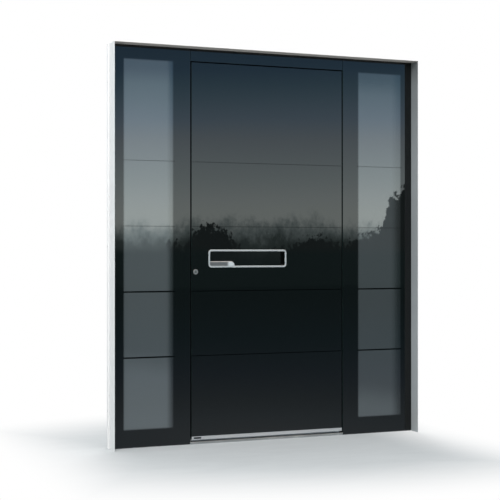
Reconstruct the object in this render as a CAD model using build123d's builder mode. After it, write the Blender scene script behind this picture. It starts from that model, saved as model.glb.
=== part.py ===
from build123d import *
import os

# Glass entrance door with two sidelights, in its frame.
# X runs to the right seen from outside, Y into the building, Z up. Millimetres.
# The origin is on the floor, on the leaf's centre line, in the middle of the frame's depth.

os.makedirs("parts", exist_ok=True)

# Frame
FRAME_WIDTH = 2068
FRAME_HEIGHT = 2446
FRAME_DEPTH = 84
PROFILE_WIDTH = 66
MULLION_WIDTH = 81
SILL_HEIGHT = 92
OUTER_SHELL_DEPTH = 32
BAR_DEPTH = 20
PROFILE_WALL = 2
BAR_THICKNESS = 2
BAR_INSET = 12
RIDGE_THICKNESS = 1.2
RIDGE_HEIGHT = 3

# Reveal casing of folded sheet
CASING_REACH = 86.7
CASING_SHEET = 2
CASING_LAP = 30
CASING_FOLD = 12

# Glass
OUTER_PANE = 6
MIDDLE_PANE = 4
INNER_PANE = 6
SPACER_DEPTH = 16
SPACER_WIDTH = 12
SPACER_INSET = 3
PANE_CLEARANCE = 5
PANE_RAISE = 6
HEAD_JOINT = 3
GROOVE_WIDTH = 4
GROOVE_DEPTH = 1.2
GROOVE_DROP = 614.7
GROOVE_SPACING = 400
GROOVE_COUNT = 4
GROOVE_OVERRUN = 11
GROOVE_MARGIN = 4

# Glazing beads and seals
BEAD_WIDTH = 22
BEAD_WALL = 1.5
BEAD_JOINT = 0.2
GLAZING_GASKET = 3
GASKET_WIDTH = 10
BLOCK_LENGTH = 100
BLOCK_INSET = 45

# Leaf
LEAF_WIDTH = 1034
HEAD_FACE = 84.5
LEAF_BOTTOM = 29.7
SIDE_GAP = 9.5
HEAD_GAP = 8
REBATE_STEP = 9
REBATE_AIR = 12
OVERLAP = 8
FLANGE_GAP = 4
FLANGE_THICKNESS = 6
SKIN = 2
STILE_WIDTH = 76
RAIL_HEIGHT = 76
LEAF_SHELL_DEPTH = 20
SEAL_CLEARANCE = 0.3
SEAL_INSET = 2
BRUSH_WIDTH = 10

# Threshold and kick strip
THRESHOLD_HEIGHT = 15
THRESHOLD_BEVEL = 5
THRESHOLD_WALL = 3
STRIP_HEIGHT = 20
STRIP_THICKNESS = 2
STRIP_RETURN = 24
PLATE_LENGTH = 48
PLATE_HEIGHT = 11
PLATE_THICKNESS = 0.8
PLATE_INSET = 14
PLATE_ROUND = 2.75

# Recessed handle
HANDLE_WIDTH = 530
HANDLE_HEIGHT = 112
HANDLE_INSET = 110
HANDLE_BOTTOM = 1092
HANDLE_CORNER = 20
RIM_WIDTH = 11
RIM_STAND = 3.5
RIM_ROUND = 1.5
CUP_DEPTH = 36
CUP_WALL = 2
GRIP_LENGTH = 165
GRIP_HEIGHT = 28
GRIP_THICKNESS = 9
GRIP_STAND = 4.5
GRIP_ROUND = 26
GRIP_BEVEL = 4

# Lock
CYLINDER_INSET = 26
CYLINDER_Z = 1066
SPINDLE_RISE = 92
LATCH_RISE = 24
DEAD_BOLT_RISE = 44
AUX_BOLT_LOW = 410
AUX_BOLT_DROP = 461.5
FACEPLATE_WIDTH = 20
FACEPLATE_THICKNESS = 3
FACEPLATE_MARGIN = 130
CASE_DEPTH = 60
CASE_THICKNESS = 16
CASE_HEIGHT = 250
CASE_RISE = 22
CASE_WALL = 2
AUX_CASE_HEIGHT = 90
BOLT_LENGTH = 44
BOLT_HEIGHT = 22
BOLT_THICKNESS = 10
LATCH_HEIGHT = 16
LATCH_BEVEL = 7
AUX_BOLT_RADIUS = 6
BOLT_CLEARANCE = 0.4
STRIKE_CLEARANCE = 1.4
AUX_BOLT_BEVEL = 1.5
CYLINDER_RADIUS = 8.5
CYLINDER_LOBE = 10
CYLINDER_HEIGHT = 33
HOLE_CLEARANCE = 0.5
PLUG_RADIUS = 6.5
PLUG_CLEARANCE = 0.05
KEY_SLOT_WIDTH = 2.2
KEY_SLOT_HEIGHT = 8
KEY_SLOT_DEPTH = 12
CAM_THICKNESS = 9
CAM_GAP = 12
CAM_REACH = 14
CAM_CLEARANCE = 1
CAM_SWEEP = 16
ROSETTE_RADIUS = 16.5
ROSETTE_STAND = 4
ROSETTE_SLEEVE = 11
ROSETTE_BEVEL = 2
STRIKE_WIDTH = 20
STRIKE_THICKNESS = 3
STRIKE_LENGTH = 200
AUX_STRIKE_LENGTH = 90

# Inside furniture
ROSE_RADIUS = 26
ROSE_THICKNESS = 9
ROSE_BEVEL = 2.25
SPINDLE_SIDE = 9
SPINDLE_CLEARANCE = 0.3
LEVER_RADIUS = 9.5
LEVER_NECK = 46
LEVER_LENGTH = 128
LEVER_BEND = 14
LEVER_SINK = 3
LEVER_ROUND = 3.2
KNOB_RADIUS = 15
KNOB_BASE = 8
KNOB_GRIP = 16
KNOB_GRIP_THICKNESS = 7.5
KNOB_ROUND = 2
KNOB_WING = 34

# Hinges
HINGE_LOW = 280
HINGE_DROP = 201.5
KNUCKLE_RADIUS = 11
KNUCKLE_HEIGHT = 42
KNUCKLE_GAP = 0.4
PIN_RADIUS = 6
PIN_CLEARANCE = 0.05
PIN_CAP = 5
HINGE_SIDE_GAP = 3
HINGE_PLATE = 4
HINGE_PLATE_WIDTH = 44
HINGE_ROUND = 4
HINGE_SCREW_INSET = 21

# Fasteners
SCREW_RADIUS = 2.5
SCREW_HEAD = 4.8
SCREW_HEAD_HEIGHT = 2.3
SCREW_TAPER = 45
FIXING_RADIUS = 5.25
FIXING_LOW = 223
FIXING_COUNT = 3
CASING_SCREW_LINE = 20
CASING_SCREW_SPACING = 600
CASING_SCREW_COUNT = 4

# Places across the door, on its right-hand half
FRAME_EDGE = FRAME_WIDTH / 2
JAMB_NEAR = FRAME_EDGE - PROFILE_WIDTH
LEAF_EDGE = LEAF_WIDTH / 2
NOSE_EDGE = LEAF_EDGE + SIDE_GAP
CORE_EDGE = LEAF_EDGE + REBATE_STEP
REBATE_EDGE = CORE_EDGE + REBATE_AIR
FLANGE_EDGE = REBATE_EDGE + OVERLAP
MULLION_FAR = REBATE_EDGE + MULLION_WIDTH
STILE_NEAR = LEAF_EDGE - STILE_WIDTH
PANE_NEAR = MULLION_FAR + PANE_CLEARANCE
PANE_FAR = JAMB_NEAR - PANE_CLEARANCE
SPACER_REACH = SPACER_INSET + SPACER_WIDTH
CYLINDER_X = CYLINDER_INSET - LEAF_EDGE
HANDLE_LEFT = HANDLE_INSET - LEAF_EDGE

# Heights
HEAD_LOW = FRAME_HEIGHT - PROFILE_WIDTH
LEAF_TOP = FRAME_HEIGHT - HEAD_FACE
HEAD_NOSE = LEAF_TOP + HEAD_GAP
CORE_TOP = LEAF_TOP + REBATE_STEP
FLANGE_TOP = HEAD_LOW + OVERLAP
PANE_LOW = SILL_HEIGHT + PANE_CLEARANCE
PANE_HIGH = HEAD_LOW - PANE_CLEARANCE
TOP_RAIL_LOW = LEAF_TOP - RAIL_HEIGHT
BOTTOM_RAIL_TOP = LEAF_BOTTOM + RAIL_HEIGHT
AUX_BOLT_HIGH = LEAF_TOP - AUX_BOLT_DROP
HINGE_HIGH = LEAF_TOP - HINGE_DROP
HINGE_HEIGHTS = (HINGE_LOW, (HINGE_LOW + HINGE_HIGH) / 2, HINGE_HIGH)

# Depths, from the glass inwards
FRONT = -FRAME_DEPTH / 2
BACK = FRAME_DEPTH / 2
SHELL_FRONT = FRONT + OUTER_PANE
SHELL_BACK = SHELL_FRONT + OUTER_SHELL_DEPTH
INNER_FRONT = SHELL_BACK + BAR_DEPTH
FRAME_MIDDLE = (INNER_FRONT + BACK) / 2
FLANGE_FRONT = BACK + FLANGE_GAP
FLANGE_BACK = FLANGE_FRONT + FLANGE_THICKNESS
LEAF_BACK = FLANGE_BACK + SKIN
LEAF_SHELL_FRONT = SHELL_FRONT + SKIN
LEAF_SHELL_BACK = LEAF_SHELL_FRONT + LEAF_SHELL_DEPTH
LEAF_INNER_FRONT = LEAF_SHELL_BACK + BAR_DEPTH
MIDDLE_FRONT = SHELL_FRONT + SPACER_DEPTH
MIDDLE_BACK = MIDDLE_FRONT + MIDDLE_PANE
INNER_PANE_FRONT = MIDDLE_BACK + SPACER_DEPTH
INNER_PANE_BACK = INNER_PANE_FRONT + INNER_PANE
BEAD_FRONT = INNER_PANE_BACK + GLAZING_GASKET

# Handle, lock and hinge places
HANDLE_RIGHT = HANDLE_LEFT + HANDLE_WIDTH
HANDLE_TOP = HANDLE_BOTTOM + HANDLE_HEIGHT
HANDLE_X = (HANDLE_LEFT + HANDLE_RIGHT) / 2
HANDLE_Z = (HANDLE_BOTTOM + HANDLE_TOP) / 2
CUP_CORNER = HANDLE_CORNER - RIM_WIDTH
CUP_BACK = FRONT + CUP_DEPTH
SPINDLE_Z = CYLINDER_Z + SPINDLE_RISE
LATCH_Z = SPINDLE_Z + LATCH_RISE
DEAD_BOLT_Z = CYLINDER_Z + DEAD_BOLT_RISE
LOCK_Y = FRAME_MIDDLE
LOCK_FRONT = -CORE_EDGE
LOCK_BACK = LOCK_FRONT + FACEPLATE_THICKNESS
CASE_LOW = CYLINDER_Z + CASE_RISE + CASE_HEIGHT / 2 - CASE_HEIGHT
CASE_HIGH = CASE_LOW + CASE_HEIGHT
HINGE_X = FLANGE_EDGE + HINGE_SIDE_GAP + KNUCKLE_RADIUS
HINGE_Y = BACK + HINGE_PLATE + KNUCKLE_RADIUS + KNUCKLE_GAP
HINGE_HEIGHT = 3 * KNUCKLE_HEIGHT + 2 * KNUCKLE_GAP
HINGE_SCREW_X = HINGE_PLATE_WIDTH / 2
GROOVE_HEIGHTS = [LEAF_TOP - GROOVE_DROP - GROOVE_SPACING * row for row in range(GROOVE_COUNT)]


# Planes and plain sections

def facing(depth):
    """Upright plane across the door at a depth. Sketches read X and Z, and a negative amount goes inwards."""
    return Plane.XZ.offset(-depth)


def section_at(place):
    """Plane square to X. Sketches read Z and Y, and an amount goes towards the left."""
    return Plane(origin=(place, 0, 0), x_dir=(0, 0, 1), z_dir=(-1, 0, 0))


def strip(first, second, mode=Mode.ADD):
    """Rectangle in the sketch between two corners, given as low and high along each of its axes."""
    middle = ((first[0] + first[1]) / 2, (second[0] + second[1]) / 2)
    with Locations(middle):
        Rectangle(first[1] - first[0], second[1] - second[0], mode=mode)


def hollow(across, depth, wall=PROFILE_WALL):
    """Section of one hollow extrusion."""
    strip(across, depth)
    inner_across = (across[0] + wall, across[1] - wall)
    inner_depth = (depth[0] + wall, depth[1] - wall)
    strip(inner_across, inner_depth, mode=Mode.SUBTRACT)


def ridges(places, edge, direction):
    """Pairs of ridges on a shell's face that grip the plastic bars standing at these places."""
    reach = edge + direction * RIDGE_HEIGHT
    for place in places:
        for side in (-1, 1):
            near = place + side * BAR_THICKNESS / 2
            far = near + side * RIDGE_THICKNESS
            strip((min(near, far), max(near, far)), (min(edge, reach), max(edge, reach)))


def frame_section(outer, inner, bars):
    """Section of a thermally broken frame profile, across its face and through its depth."""
    hollow(outer, (SHELL_FRONT, SHELL_BACK))
    hollow(inner, (INNER_FRONT, BACK))
    ridges(bars, SHELL_BACK, 1)
    ridges(bars, INNER_FRONT, -1)


def bar_places(low, high):
    """Where a profile's two plastic bars stand, between its edges."""
    return (low + BAR_INSET, high - BAR_INSET)


def bar_strips(places, depth):
    for place in places:
        strip((place - BAR_THICKNESS / 2, place + BAR_THICKNESS / 2), depth)


def finish(part, name):
    part.label = name
    export_step(part, f"parts/{name}.step")


def write_pair(right, name):
    """Writes a right-hand piece, and its mirror image for the left-hand side."""
    finish(right.part, f"{name}_right")
    with BuildPart() as left:
        mirror(right.part, about=Plane.YZ)
    finish(left.part, f"{name}_left")


JAMB_BARS = bar_places(JAMB_NEAR, FRAME_EDGE)
MULLION_BARS = bar_places(REBATE_EDGE, MULLION_FAR)
HEAD_BARS = bar_places(HEAD_LOW, FRAME_HEIGHT)
SILL_BARS = bar_places(0, SILL_HEIGHT)
MITRE = Plane(origin=(FRAME_EDGE, 0, FRAME_HEIGHT), z_dir=(1, 0, -1))
LEFT_MITRE = Plane(origin=(-FRAME_EDGE, 0, FRAME_HEIGHT), z_dir=(-1, 0, -1))
FIXING_SPACING = (FRAME_HEIGHT - 2 * FIXING_LOW) / (FIXING_COUNT - 1)
FIXING_HEIGHTS = [FIXING_LOW + FIXING_SPACING * row for row in range(FIXING_COUNT)]

# Frame profiles: upright jambs and mullions, mitred head, sill rails under the sidelights

with BuildPart() as jamb:
    with BuildSketch(Plane.XY):
        frame_section((JAMB_NEAR, FRAME_EDGE), (JAMB_NEAR, FRAME_EDGE), JAMB_BARS)
    extrude(amount=FRAME_HEIGHT)
    split(bisect_by=MITRE, keep=Keep.TOP)
    with BuildSketch(section_at(FRAME_EDGE)):
        with Locations([(height, FRAME_MIDDLE) for height in FIXING_HEIGHTS]):
            Circle(FIXING_RADIUS)
    extrude(amount=PROFILE_WIDTH, mode=Mode.SUBTRACT)
write_pair(jamb, "jamb")

with BuildPart() as mullion:
    with BuildSketch(Plane.XY):
        frame_section((NOSE_EDGE, MULLION_FAR), (REBATE_EDGE, MULLION_FAR), MULLION_BARS)
    extrude(amount=HEAD_LOW)
finish(mullion.part, "mullion_right")

BOLT_HEIGHTS = (AUX_BOLT_LOW, AUX_BOLT_HIGH)


def flat_openings(clearance):
    """Sketch in Z and Y of the openings that the latch and the dead bolt pass through."""
    wide = BOLT_THICKNESS + 2 * clearance
    with Locations((LATCH_Z, LOCK_Y)):
        Rectangle(LATCH_HEIGHT + 2 * clearance, wide)
    with Locations((DEAD_BOLT_Z, LOCK_Y)):
        Rectangle(BOLT_HEIGHT + 2 * clearance, wide)


def strike_openings():
    """Square-cut openings for the latch and all three bolts on the frame's side."""
    flat_openings(STRIKE_CLEARANCE)
    side = 2 * (AUX_BOLT_RADIUS + STRIKE_CLEARANCE)
    with Locations([(height, LOCK_Y) for height in BOLT_HEIGHTS]):
        Rectangle(side, side)


with BuildPart() as mullion_left:
    mirror(mullion.part, about=Plane.YZ)
    with BuildSketch(section_at(-REBATE_EDGE)):
        strike_openings()
    extrude(amount=PROFILE_WALL, mode=Mode.SUBTRACT)
finish(mullion_left.part, "mullion_left")

with BuildPart() as head_rail:
    with BuildSketch(section_at(FRAME_EDGE)):
        frame_section((HEAD_LOW, FRAME_HEIGHT), (HEAD_LOW, FRAME_HEIGHT), HEAD_BARS)
    extrude(amount=FRAME_WIDTH)
    split(bisect_by=MITRE, keep=Keep.BOTTOM)
    split(bisect_by=LEFT_MITRE, keep=Keep.BOTTOM)
    with BuildSketch(section_at(NOSE_EDGE)):
        hollow((HEAD_NOSE, HEAD_LOW), (SHELL_FRONT, SHELL_BACK))
    extrude(amount=2 * NOSE_EDGE)
finish(head_rail.part, "head_rail")

with BuildPart() as sill:
    with BuildSketch(section_at(JAMB_NEAR)):
        frame_section((0, SILL_HEIGHT), (0, SILL_HEIGHT), SILL_BARS)
    extrude(amount=JAMB_NEAR - MULLION_FAR)
write_pair(sill, "sill_rail")

with BuildPart() as frame_thermal_bars:
    with BuildSketch(Plane.XY):
        bar_strips(JAMB_BARS + MULLION_BARS, (SHELL_BACK, INNER_FRONT))
    extrude(amount=HEAD_LOW)
    with BuildSketch(section_at(JAMB_NEAR)):
        bar_strips(SILL_BARS, (SHELL_BACK, INNER_FRONT))
    extrude(amount=JAMB_NEAR - MULLION_FAR)
    mirror(about=Plane.YZ)
    with BuildSketch(section_at(JAMB_NEAR)):
        bar_strips(HEAD_BARS, (SHELL_BACK, INNER_FRONT))
    extrude(amount=2 * JAMB_NEAR)
finish(frame_thermal_bars.part, "frame_thermal_bars")

# Threshold: low bevelled extrusion that fills the leaf's bay between the mullions

with BuildPart() as threshold:
    with BuildSketch(section_at(REBATE_EDGE)):
        with BuildLine():
            Polyline(
                (0, FRONT),
                (THRESHOLD_HEIGHT - THRESHOLD_BEVEL, FRONT),
                (THRESHOLD_HEIGHT, FRONT + THRESHOLD_BEVEL),
                (THRESHOLD_HEIGHT, BACK - THRESHOLD_BEVEL),
                (THRESHOLD_HEIGHT - THRESHOLD_BEVEL, BACK),
                (0, BACK),
                close=True,
            )
        make_face()
        inside = (THRESHOLD_WALL, THRESHOLD_HEIGHT - THRESHOLD_WALL)
        strip(inside, (FRONT + 2 * THRESHOLD_BEVEL, SHELL_BACK), mode=Mode.SUBTRACT)
        strip(inside, (SHELL_BACK + THRESHOLD_WALL, BACK - 2 * THRESHOLD_BEVEL), mode=Mode.SUBTRACT)
    extrude(amount=2 * REBATE_EDGE)
    with BuildSketch(Plane.XY):
        for side in (-1, 1):
            ends = sorted((side * NOSE_EDGE, side * REBATE_EDGE))
            strip(ends, (FRONT, SHELL_BACK))
    extrude(amount=THRESHOLD_HEIGHT, mode=Mode.SUBTRACT)
finish(threshold.part, "threshold")

# Reveal casing: folded sheet round three sides, lapped onto the frame's outer faces

CASING_FRONT = FRONT - CASING_REACH
CASING_BACK = FRONT + CASING_LAP
CASING_EDGE = FRAME_EDGE + CASING_SHEET
CASING_SCREW_Y = FRONT + CASING_SCREW_LINE
CASING_SCREW_LOW = (FRAME_HEIGHT - CASING_SCREW_SPACING * (CASING_SCREW_COUNT - 1)) / 2
CASING_SCREW_HEIGHTS = [
    CASING_SCREW_LOW + CASING_SCREW_SPACING * row for row in range(CASING_SCREW_COUNT)
]


def casing_section(edge):
    """Sheet standing forward of the frame, with its rear edge folded away from the opening."""
    strip((edge, edge + CASING_SHEET), (CASING_FRONT, CASING_BACK))
    strip((edge, edge + CASING_FOLD), (CASING_BACK - CASING_SHEET, CASING_BACK))


with BuildPart() as casing:
    with BuildSketch(Plane.XY):
        casing_section(FRAME_EDGE)
    extrude(amount=FRAME_HEIGHT)
    with BuildSketch(section_at(CASING_EDGE)):
        with Locations([(height, CASING_SCREW_Y) for height in CASING_SCREW_HEIGHTS]):
            Circle(SCREW_RADIUS + PIN_CLEARANCE)
    extrude(amount=CASING_SHEET, mode=Mode.SUBTRACT)
write_pair(casing, "casing")

with BuildPart() as casing_head:
    with BuildSketch(section_at(CASING_EDGE)):
        casing_section(FRAME_HEIGHT)
    extrude(amount=2 * CASING_EDGE)
finish(casing_head.part, "casing_head")

# Glass: outer panes and head strip flush with the leaf, with ground grooves across their face

def grooves(low, high):
    """Grooves ground across the face of a pane, from one place to another along X."""
    with BuildSketch(facing(FRONT)) as lines:
        for height in GROOVE_HEIGHTS:
            strip((low, high), (height - GROOVE_WIDTH / 2, height + GROOVE_WIDTH / 2))
    extrude(lines.sketch, amount=-GROOVE_DEPTH, mode=Mode.SUBTRACT)


WINDOW_NEAR = PANE_NEAR + SPACER_REACH
WINDOW_FAR = PANE_FAR - SPACER_REACH

with BuildPart() as outer_pane:
    with BuildSketch(facing(FRONT)):
        strip((NOSE_EDGE, FRAME_EDGE), (PANE_RAISE, FRAME_HEIGHT))
    extrude(amount=-OUTER_PANE)
    grooves(WINDOW_NEAR - GROOVE_OVERRUN, WINDOW_FAR + GROOVE_OVERRUN)
write_pair(outer_pane, "sidelight_outer_pane")

with BuildPart() as head_glass:
    with BuildSketch(facing(FRONT)):
        strip((HEAD_JOINT - NOSE_EDGE, NOSE_EDGE - HEAD_JOINT), (HEAD_NOSE, FRAME_HEIGHT))
    extrude(amount=-OUTER_PANE)
finish(head_glass.part, "head_glass")


def inner_glass(front, thickness, name):
    """One layer of the sealed units behind the outer panes, on both sides of the door."""
    with BuildPart() as pane:
        with BuildSketch(facing(front)):
            strip((PANE_NEAR, PANE_FAR), (PANE_LOW, PANE_HIGH))
        extrude(amount=-thickness)
        mirror(about=Plane.YZ)
    finish(pane.part, name)


inner_glass(MIDDLE_FRONT, MIDDLE_PANE, "sidelight_middle_panes")
inner_glass(INNER_PANE_FRONT, INNER_PANE, "sidelight_inner_panes")

with BuildPart() as spacer_frames:
    for front in (SHELL_FRONT, MIDDLE_BACK):
        with BuildSketch(facing(front)):
            across = (PANE_NEAR + SPACER_INSET, PANE_FAR - SPACER_INSET)
            upright = (PANE_LOW + SPACER_INSET, PANE_HIGH - SPACER_INSET)
            hollow(across, upright, SPACER_WIDTH)
        extrude(amount=-SPACER_DEPTH)
    mirror(about=Plane.YZ)
finish(spacer_frames.part, "spacer_frames")

with BuildPart() as glazing_gaskets:
    with BuildSketch(facing(INNER_PANE_BACK)):
        across = (PANE_NEAR + SPACER_INSET, PANE_FAR - SPACER_INSET)
        upright = (PANE_LOW + SPACER_INSET, PANE_HIGH - SPACER_INSET)
        hollow(across, upright, GASKET_WIDTH)
    extrude(amount=-GLAZING_GASKET)
    mirror(about=Plane.YZ)
finish(glazing_gaskets.part, "glazing_gaskets")

with BuildPart() as glazing_beads:
    with BuildSketch(section_at(JAMB_NEAR)):
        for low in (SILL_HEIGHT, HEAD_LOW - BEAD_WIDTH):
            hollow((low, low + BEAD_WIDTH), (BEAD_FRONT, BACK), BEAD_WALL)
    extrude(amount=JAMB_NEAR - MULLION_FAR)
    with BuildSketch(Plane.XY.offset(SILL_HEIGHT + BEAD_WIDTH + BEAD_JOINT)):
        for low in (MULLION_FAR, JAMB_NEAR - BEAD_WIDTH):
            hollow((low, low + BEAD_WIDTH), (BEAD_FRONT, BACK), BEAD_WALL)
    extrude(amount=HEAD_LOW - SILL_HEIGHT - 2 * (BEAD_WIDTH + BEAD_JOINT))
    mirror(about=Plane.YZ)
finish(glazing_beads.part, "glazing_beads")

with BuildPart() as setting_blocks:
    with BuildSketch(Plane.XY.offset(SILL_HEIGHT)):
        for middle in (PANE_NEAR + BLOCK_INSET + BLOCK_LENGTH / 2, PANE_FAR - BLOCK_INSET - BLOCK_LENGTH / 2):
            ends = (middle - BLOCK_LENGTH / 2, middle + BLOCK_LENGTH / 2)
            strip(ends, (MIDDLE_FRONT, INNER_PANE_BACK))
    extrude(amount=PANE_CLEARANCE)
    mirror(about=Plane.YZ)
finish(setting_blocks.part, "setting_blocks")

# Frame gasket: hollow rubber section between the frame's nose and the leaf's step

with BuildPart() as frame_gasket:
    gasket_depth = (SHELL_BACK, LEAF_INNER_FRONT - SEAL_CLEARANCE)
    with BuildSketch(Plane.XY.offset(THRESHOLD_HEIGHT)):
        hollow((NOSE_EDGE, REBATE_EDGE), gasket_depth)
    extrude(amount=HEAD_LOW - THRESHOLD_HEIGHT)
    mirror(about=Plane.YZ)
    with BuildSketch(section_at(NOSE_EDGE)):
        hollow((HEAD_NOSE, HEAD_LOW), gasket_depth)
    extrude(amount=2 * NOSE_EDGE)
finish(frame_gasket.part, "frame_gasket")

# Leaf glass, skins and core, each opened for the handle and the cylinder

CUP_WIDTH = HANDLE_WIDTH - 2 * RIM_WIDTH
CUP_HEIGHT = HANDLE_HEIGHT - 2 * RIM_WIDTH


def cup_outline(outset):
    """Rounded outline of the recess, grown by a margin."""
    with Locations((HANDLE_X, HANDLE_Z)):
        RectangleRounded(CUP_WIDTH + 2 * outset, CUP_HEIGHT + 2 * outset, CUP_CORNER + outset)


def cylinder_outline(outset):
    """Keyhole-shaped outline of the lock cylinder, grown by a margin."""
    with Locations((CYLINDER_X, CYLINDER_Z)):
        Circle(CYLINDER_RADIUS + outset)
    lobe = CYLINDER_LOBE / 2 + outset
    low = CYLINDER_Z + CYLINDER_RADIUS - CYLINDER_HEIGHT - outset
    strip((CYLINDER_X - lobe, CYLINDER_X + lobe), (low, CYLINDER_Z))


def spindle_hole():
    with Locations((CYLINDER_X, SPINDLE_Z)):
        Circle(SPINDLE_SIDE)


with BuildPart() as leaf_glass:
    with BuildSketch(facing(FRONT)):
        strip((-LEAF_EDGE, LEAF_EDGE), (LEAF_BOTTOM, LEAF_TOP))
    extrude(amount=-OUTER_PANE)
    grooves(GROOVE_MARGIN - LEAF_EDGE, LEAF_EDGE - GROOVE_MARGIN)
    with BuildSketch(facing(FRONT)):
        cup_outline(CUP_WALL + HOLE_CLEARANCE)
        with Locations((CYLINDER_X, CYLINDER_Z)):
            Circle(ROSETTE_SLEEVE + HOLE_CLEARANCE)
    extrude(amount=-OUTER_PANE, mode=Mode.SUBTRACT)
finish(leaf_glass.part, "leaf_glass")

with BuildPart() as leaf_outer_skin:
    with BuildSketch(facing(SHELL_FRONT)):
        strip((-LEAF_EDGE, LEAF_EDGE), (LEAF_BOTTOM, LEAF_TOP))
    extrude(amount=-SKIN)
    with BuildSketch(facing(SHELL_FRONT)):
        cup_outline(CUP_WALL + HOLE_CLEARANCE)
        cylinder_outline(HOLE_CLEARANCE)
    extrude(amount=-SKIN, mode=Mode.SUBTRACT)
finish(leaf_outer_skin.part, "leaf_outer_skin")

with BuildPart() as leaf_core:
    with BuildSketch(facing(LEAF_SHELL_FRONT)):
        strip((-STILE_NEAR, STILE_NEAR), (BOTTOM_RAIL_TOP, TOP_RAIL_LOW))
    extrude(amount=-(FLANGE_BACK - LEAF_SHELL_FRONT))
    with BuildSketch(facing(LEAF_SHELL_FRONT)):
        cup_outline(CUP_WALL + HOLE_CLEARANCE)
    extrude(amount=-(CUP_BACK - LEAF_SHELL_FRONT), mode=Mode.SUBTRACT)
finish(leaf_core.part, "leaf_core")

with BuildPart() as leaf_inner_skin:
    with BuildSketch(facing(FLANGE_BACK)):
        strip((-FLANGE_EDGE, FLANGE_EDGE), (LEAF_BOTTOM, FLANGE_TOP))
    extrude(amount=-SKIN)
    with BuildSketch(facing(FLANGE_BACK)):
        cylinder_outline(HOLE_CLEARANCE)
        spindle_hole()
    extrude(amount=-SKIN, mode=Mode.SUBTRACT)
finish(leaf_inner_skin.part, "leaf_inner_skin")

# Leaf profiles: two stiles full height with rails between them, all with an overlapping flange

STILE_BARS = bar_places(STILE_NEAR, LEAF_EDGE)
TOP_RAIL_BARS = bar_places(TOP_RAIL_LOW, LEAF_TOP)
BOTTOM_RAIL_BARS = bar_places(LEAF_BOTTOM, BOTTOM_RAIL_TOP)

with BuildPart() as hinge_stile:
    with BuildSketch(Plane.XY.offset(LEAF_BOTTOM)):
        hollow((STILE_NEAR, LEAF_EDGE), (LEAF_SHELL_FRONT, LEAF_SHELL_BACK))
        ridges(STILE_BARS, LEAF_SHELL_BACK, 1)
        ridges(STILE_BARS, LEAF_INNER_FRONT, -1)
    extrude(amount=LEAF_TOP - LEAF_BOTTOM)
    with BuildSketch(Plane.XY.offset(LEAF_BOTTOM)):
        hollow((STILE_NEAR, CORE_EDGE), (LEAF_INNER_FRONT, FLANGE_BACK))
    extrude(amount=CORE_TOP - LEAF_BOTTOM)
    with BuildSketch(Plane.XY.offset(LEAF_BOTTOM)):
        strip((CORE_EDGE, FLANGE_EDGE), (FLANGE_FRONT, FLANGE_BACK))
    extrude(amount=FLANGE_TOP - LEAF_BOTTOM)
finish(hinge_stile.part, "hinge_stile")

FACEPLATE_LOW = AUX_BOLT_LOW - FACEPLATE_MARGIN
FACEPLATE_HIGH = AUX_BOLT_HIGH + FACEPLATE_MARGIN
FACEPLATE_Y = (LOCK_Y - FACEPLATE_WIDTH / 2, LOCK_Y + FACEPLATE_WIDTH / 2)

with BuildPart() as lock_stile:
    mirror(hinge_stile.part, about=Plane.YZ)
    with BuildSketch(section_at(LOCK_BACK)):
        strip((FACEPLATE_LOW, FACEPLATE_HIGH), FACEPLATE_Y)
    extrude(amount=FACEPLATE_THICKNESS, mode=Mode.SUBTRACT)
    with BuildSketch(facing(LEAF_SHELL_FRONT)):
        cylinder_outline(HOLE_CLEARANCE)
    extrude(amount=-(FLANGE_BACK - LEAF_SHELL_FRONT), mode=Mode.SUBTRACT)
    with BuildSketch(facing(LOCK_Y)):
        spindle_hole()
    extrude(amount=-(FLANGE_BACK - LOCK_Y), mode=Mode.SUBTRACT)
finish(lock_stile.part, "lock_stile")


def leaf_rail(low, high, inner_high, bars):
    """Hollow shells of a leaf rail between the stiles."""
    with BuildSketch(section_at(STILE_NEAR)) as section:
        hollow((low, high), (LEAF_SHELL_FRONT, LEAF_SHELL_BACK))
        hollow((low, inner_high), (LEAF_INNER_FRONT, FLANGE_BACK))
        ridges(bars, LEAF_SHELL_BACK, 1)
        ridges(bars, LEAF_INNER_FRONT, -1)
    extrude(section.sketch, amount=2 * STILE_NEAR)


with BuildPart() as top_rail:
    leaf_rail(TOP_RAIL_LOW, LEAF_TOP, CORE_TOP, TOP_RAIL_BARS)
    with BuildSketch(section_at(CORE_EDGE)):
        strip((CORE_TOP, FLANGE_TOP), (FLANGE_FRONT, FLANGE_BACK))
    extrude(amount=2 * CORE_EDGE)
finish(top_rail.part, "top_rail")

with BuildPart() as bottom_rail:
    leaf_rail(LEAF_BOTTOM, BOTTOM_RAIL_TOP, BOTTOM_RAIL_TOP, BOTTOM_RAIL_BARS)
finish(bottom_rail.part, "bottom_rail")

with BuildPart() as leaf_thermal_bars:
    with BuildSketch(Plane.XY.offset(LEAF_BOTTOM)):
        bar_strips(STILE_BARS, (LEAF_SHELL_BACK, LEAF_INNER_FRONT))
    extrude(amount=LEAF_TOP - LEAF_BOTTOM)
    mirror(about=Plane.YZ)
    with BuildSketch(section_at(STILE_NEAR)):
        bar_strips(TOP_RAIL_BARS + BOTTOM_RAIL_BARS, (LEAF_SHELL_BACK, LEAF_INNER_FRONT))
    extrude(amount=2 * STILE_NEAR)
    with BuildSketch(facing(LEAF_SHELL_BACK)):
        cylinder_outline(HOLE_CLEARANCE)
    extrude(amount=-BAR_DEPTH, mode=Mode.SUBTRACT)
finish(leaf_thermal_bars.part, "leaf_thermal_bars")

# Leaf seals: flange gasket towards the frame, and a brush that closes the gap over the threshold

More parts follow.
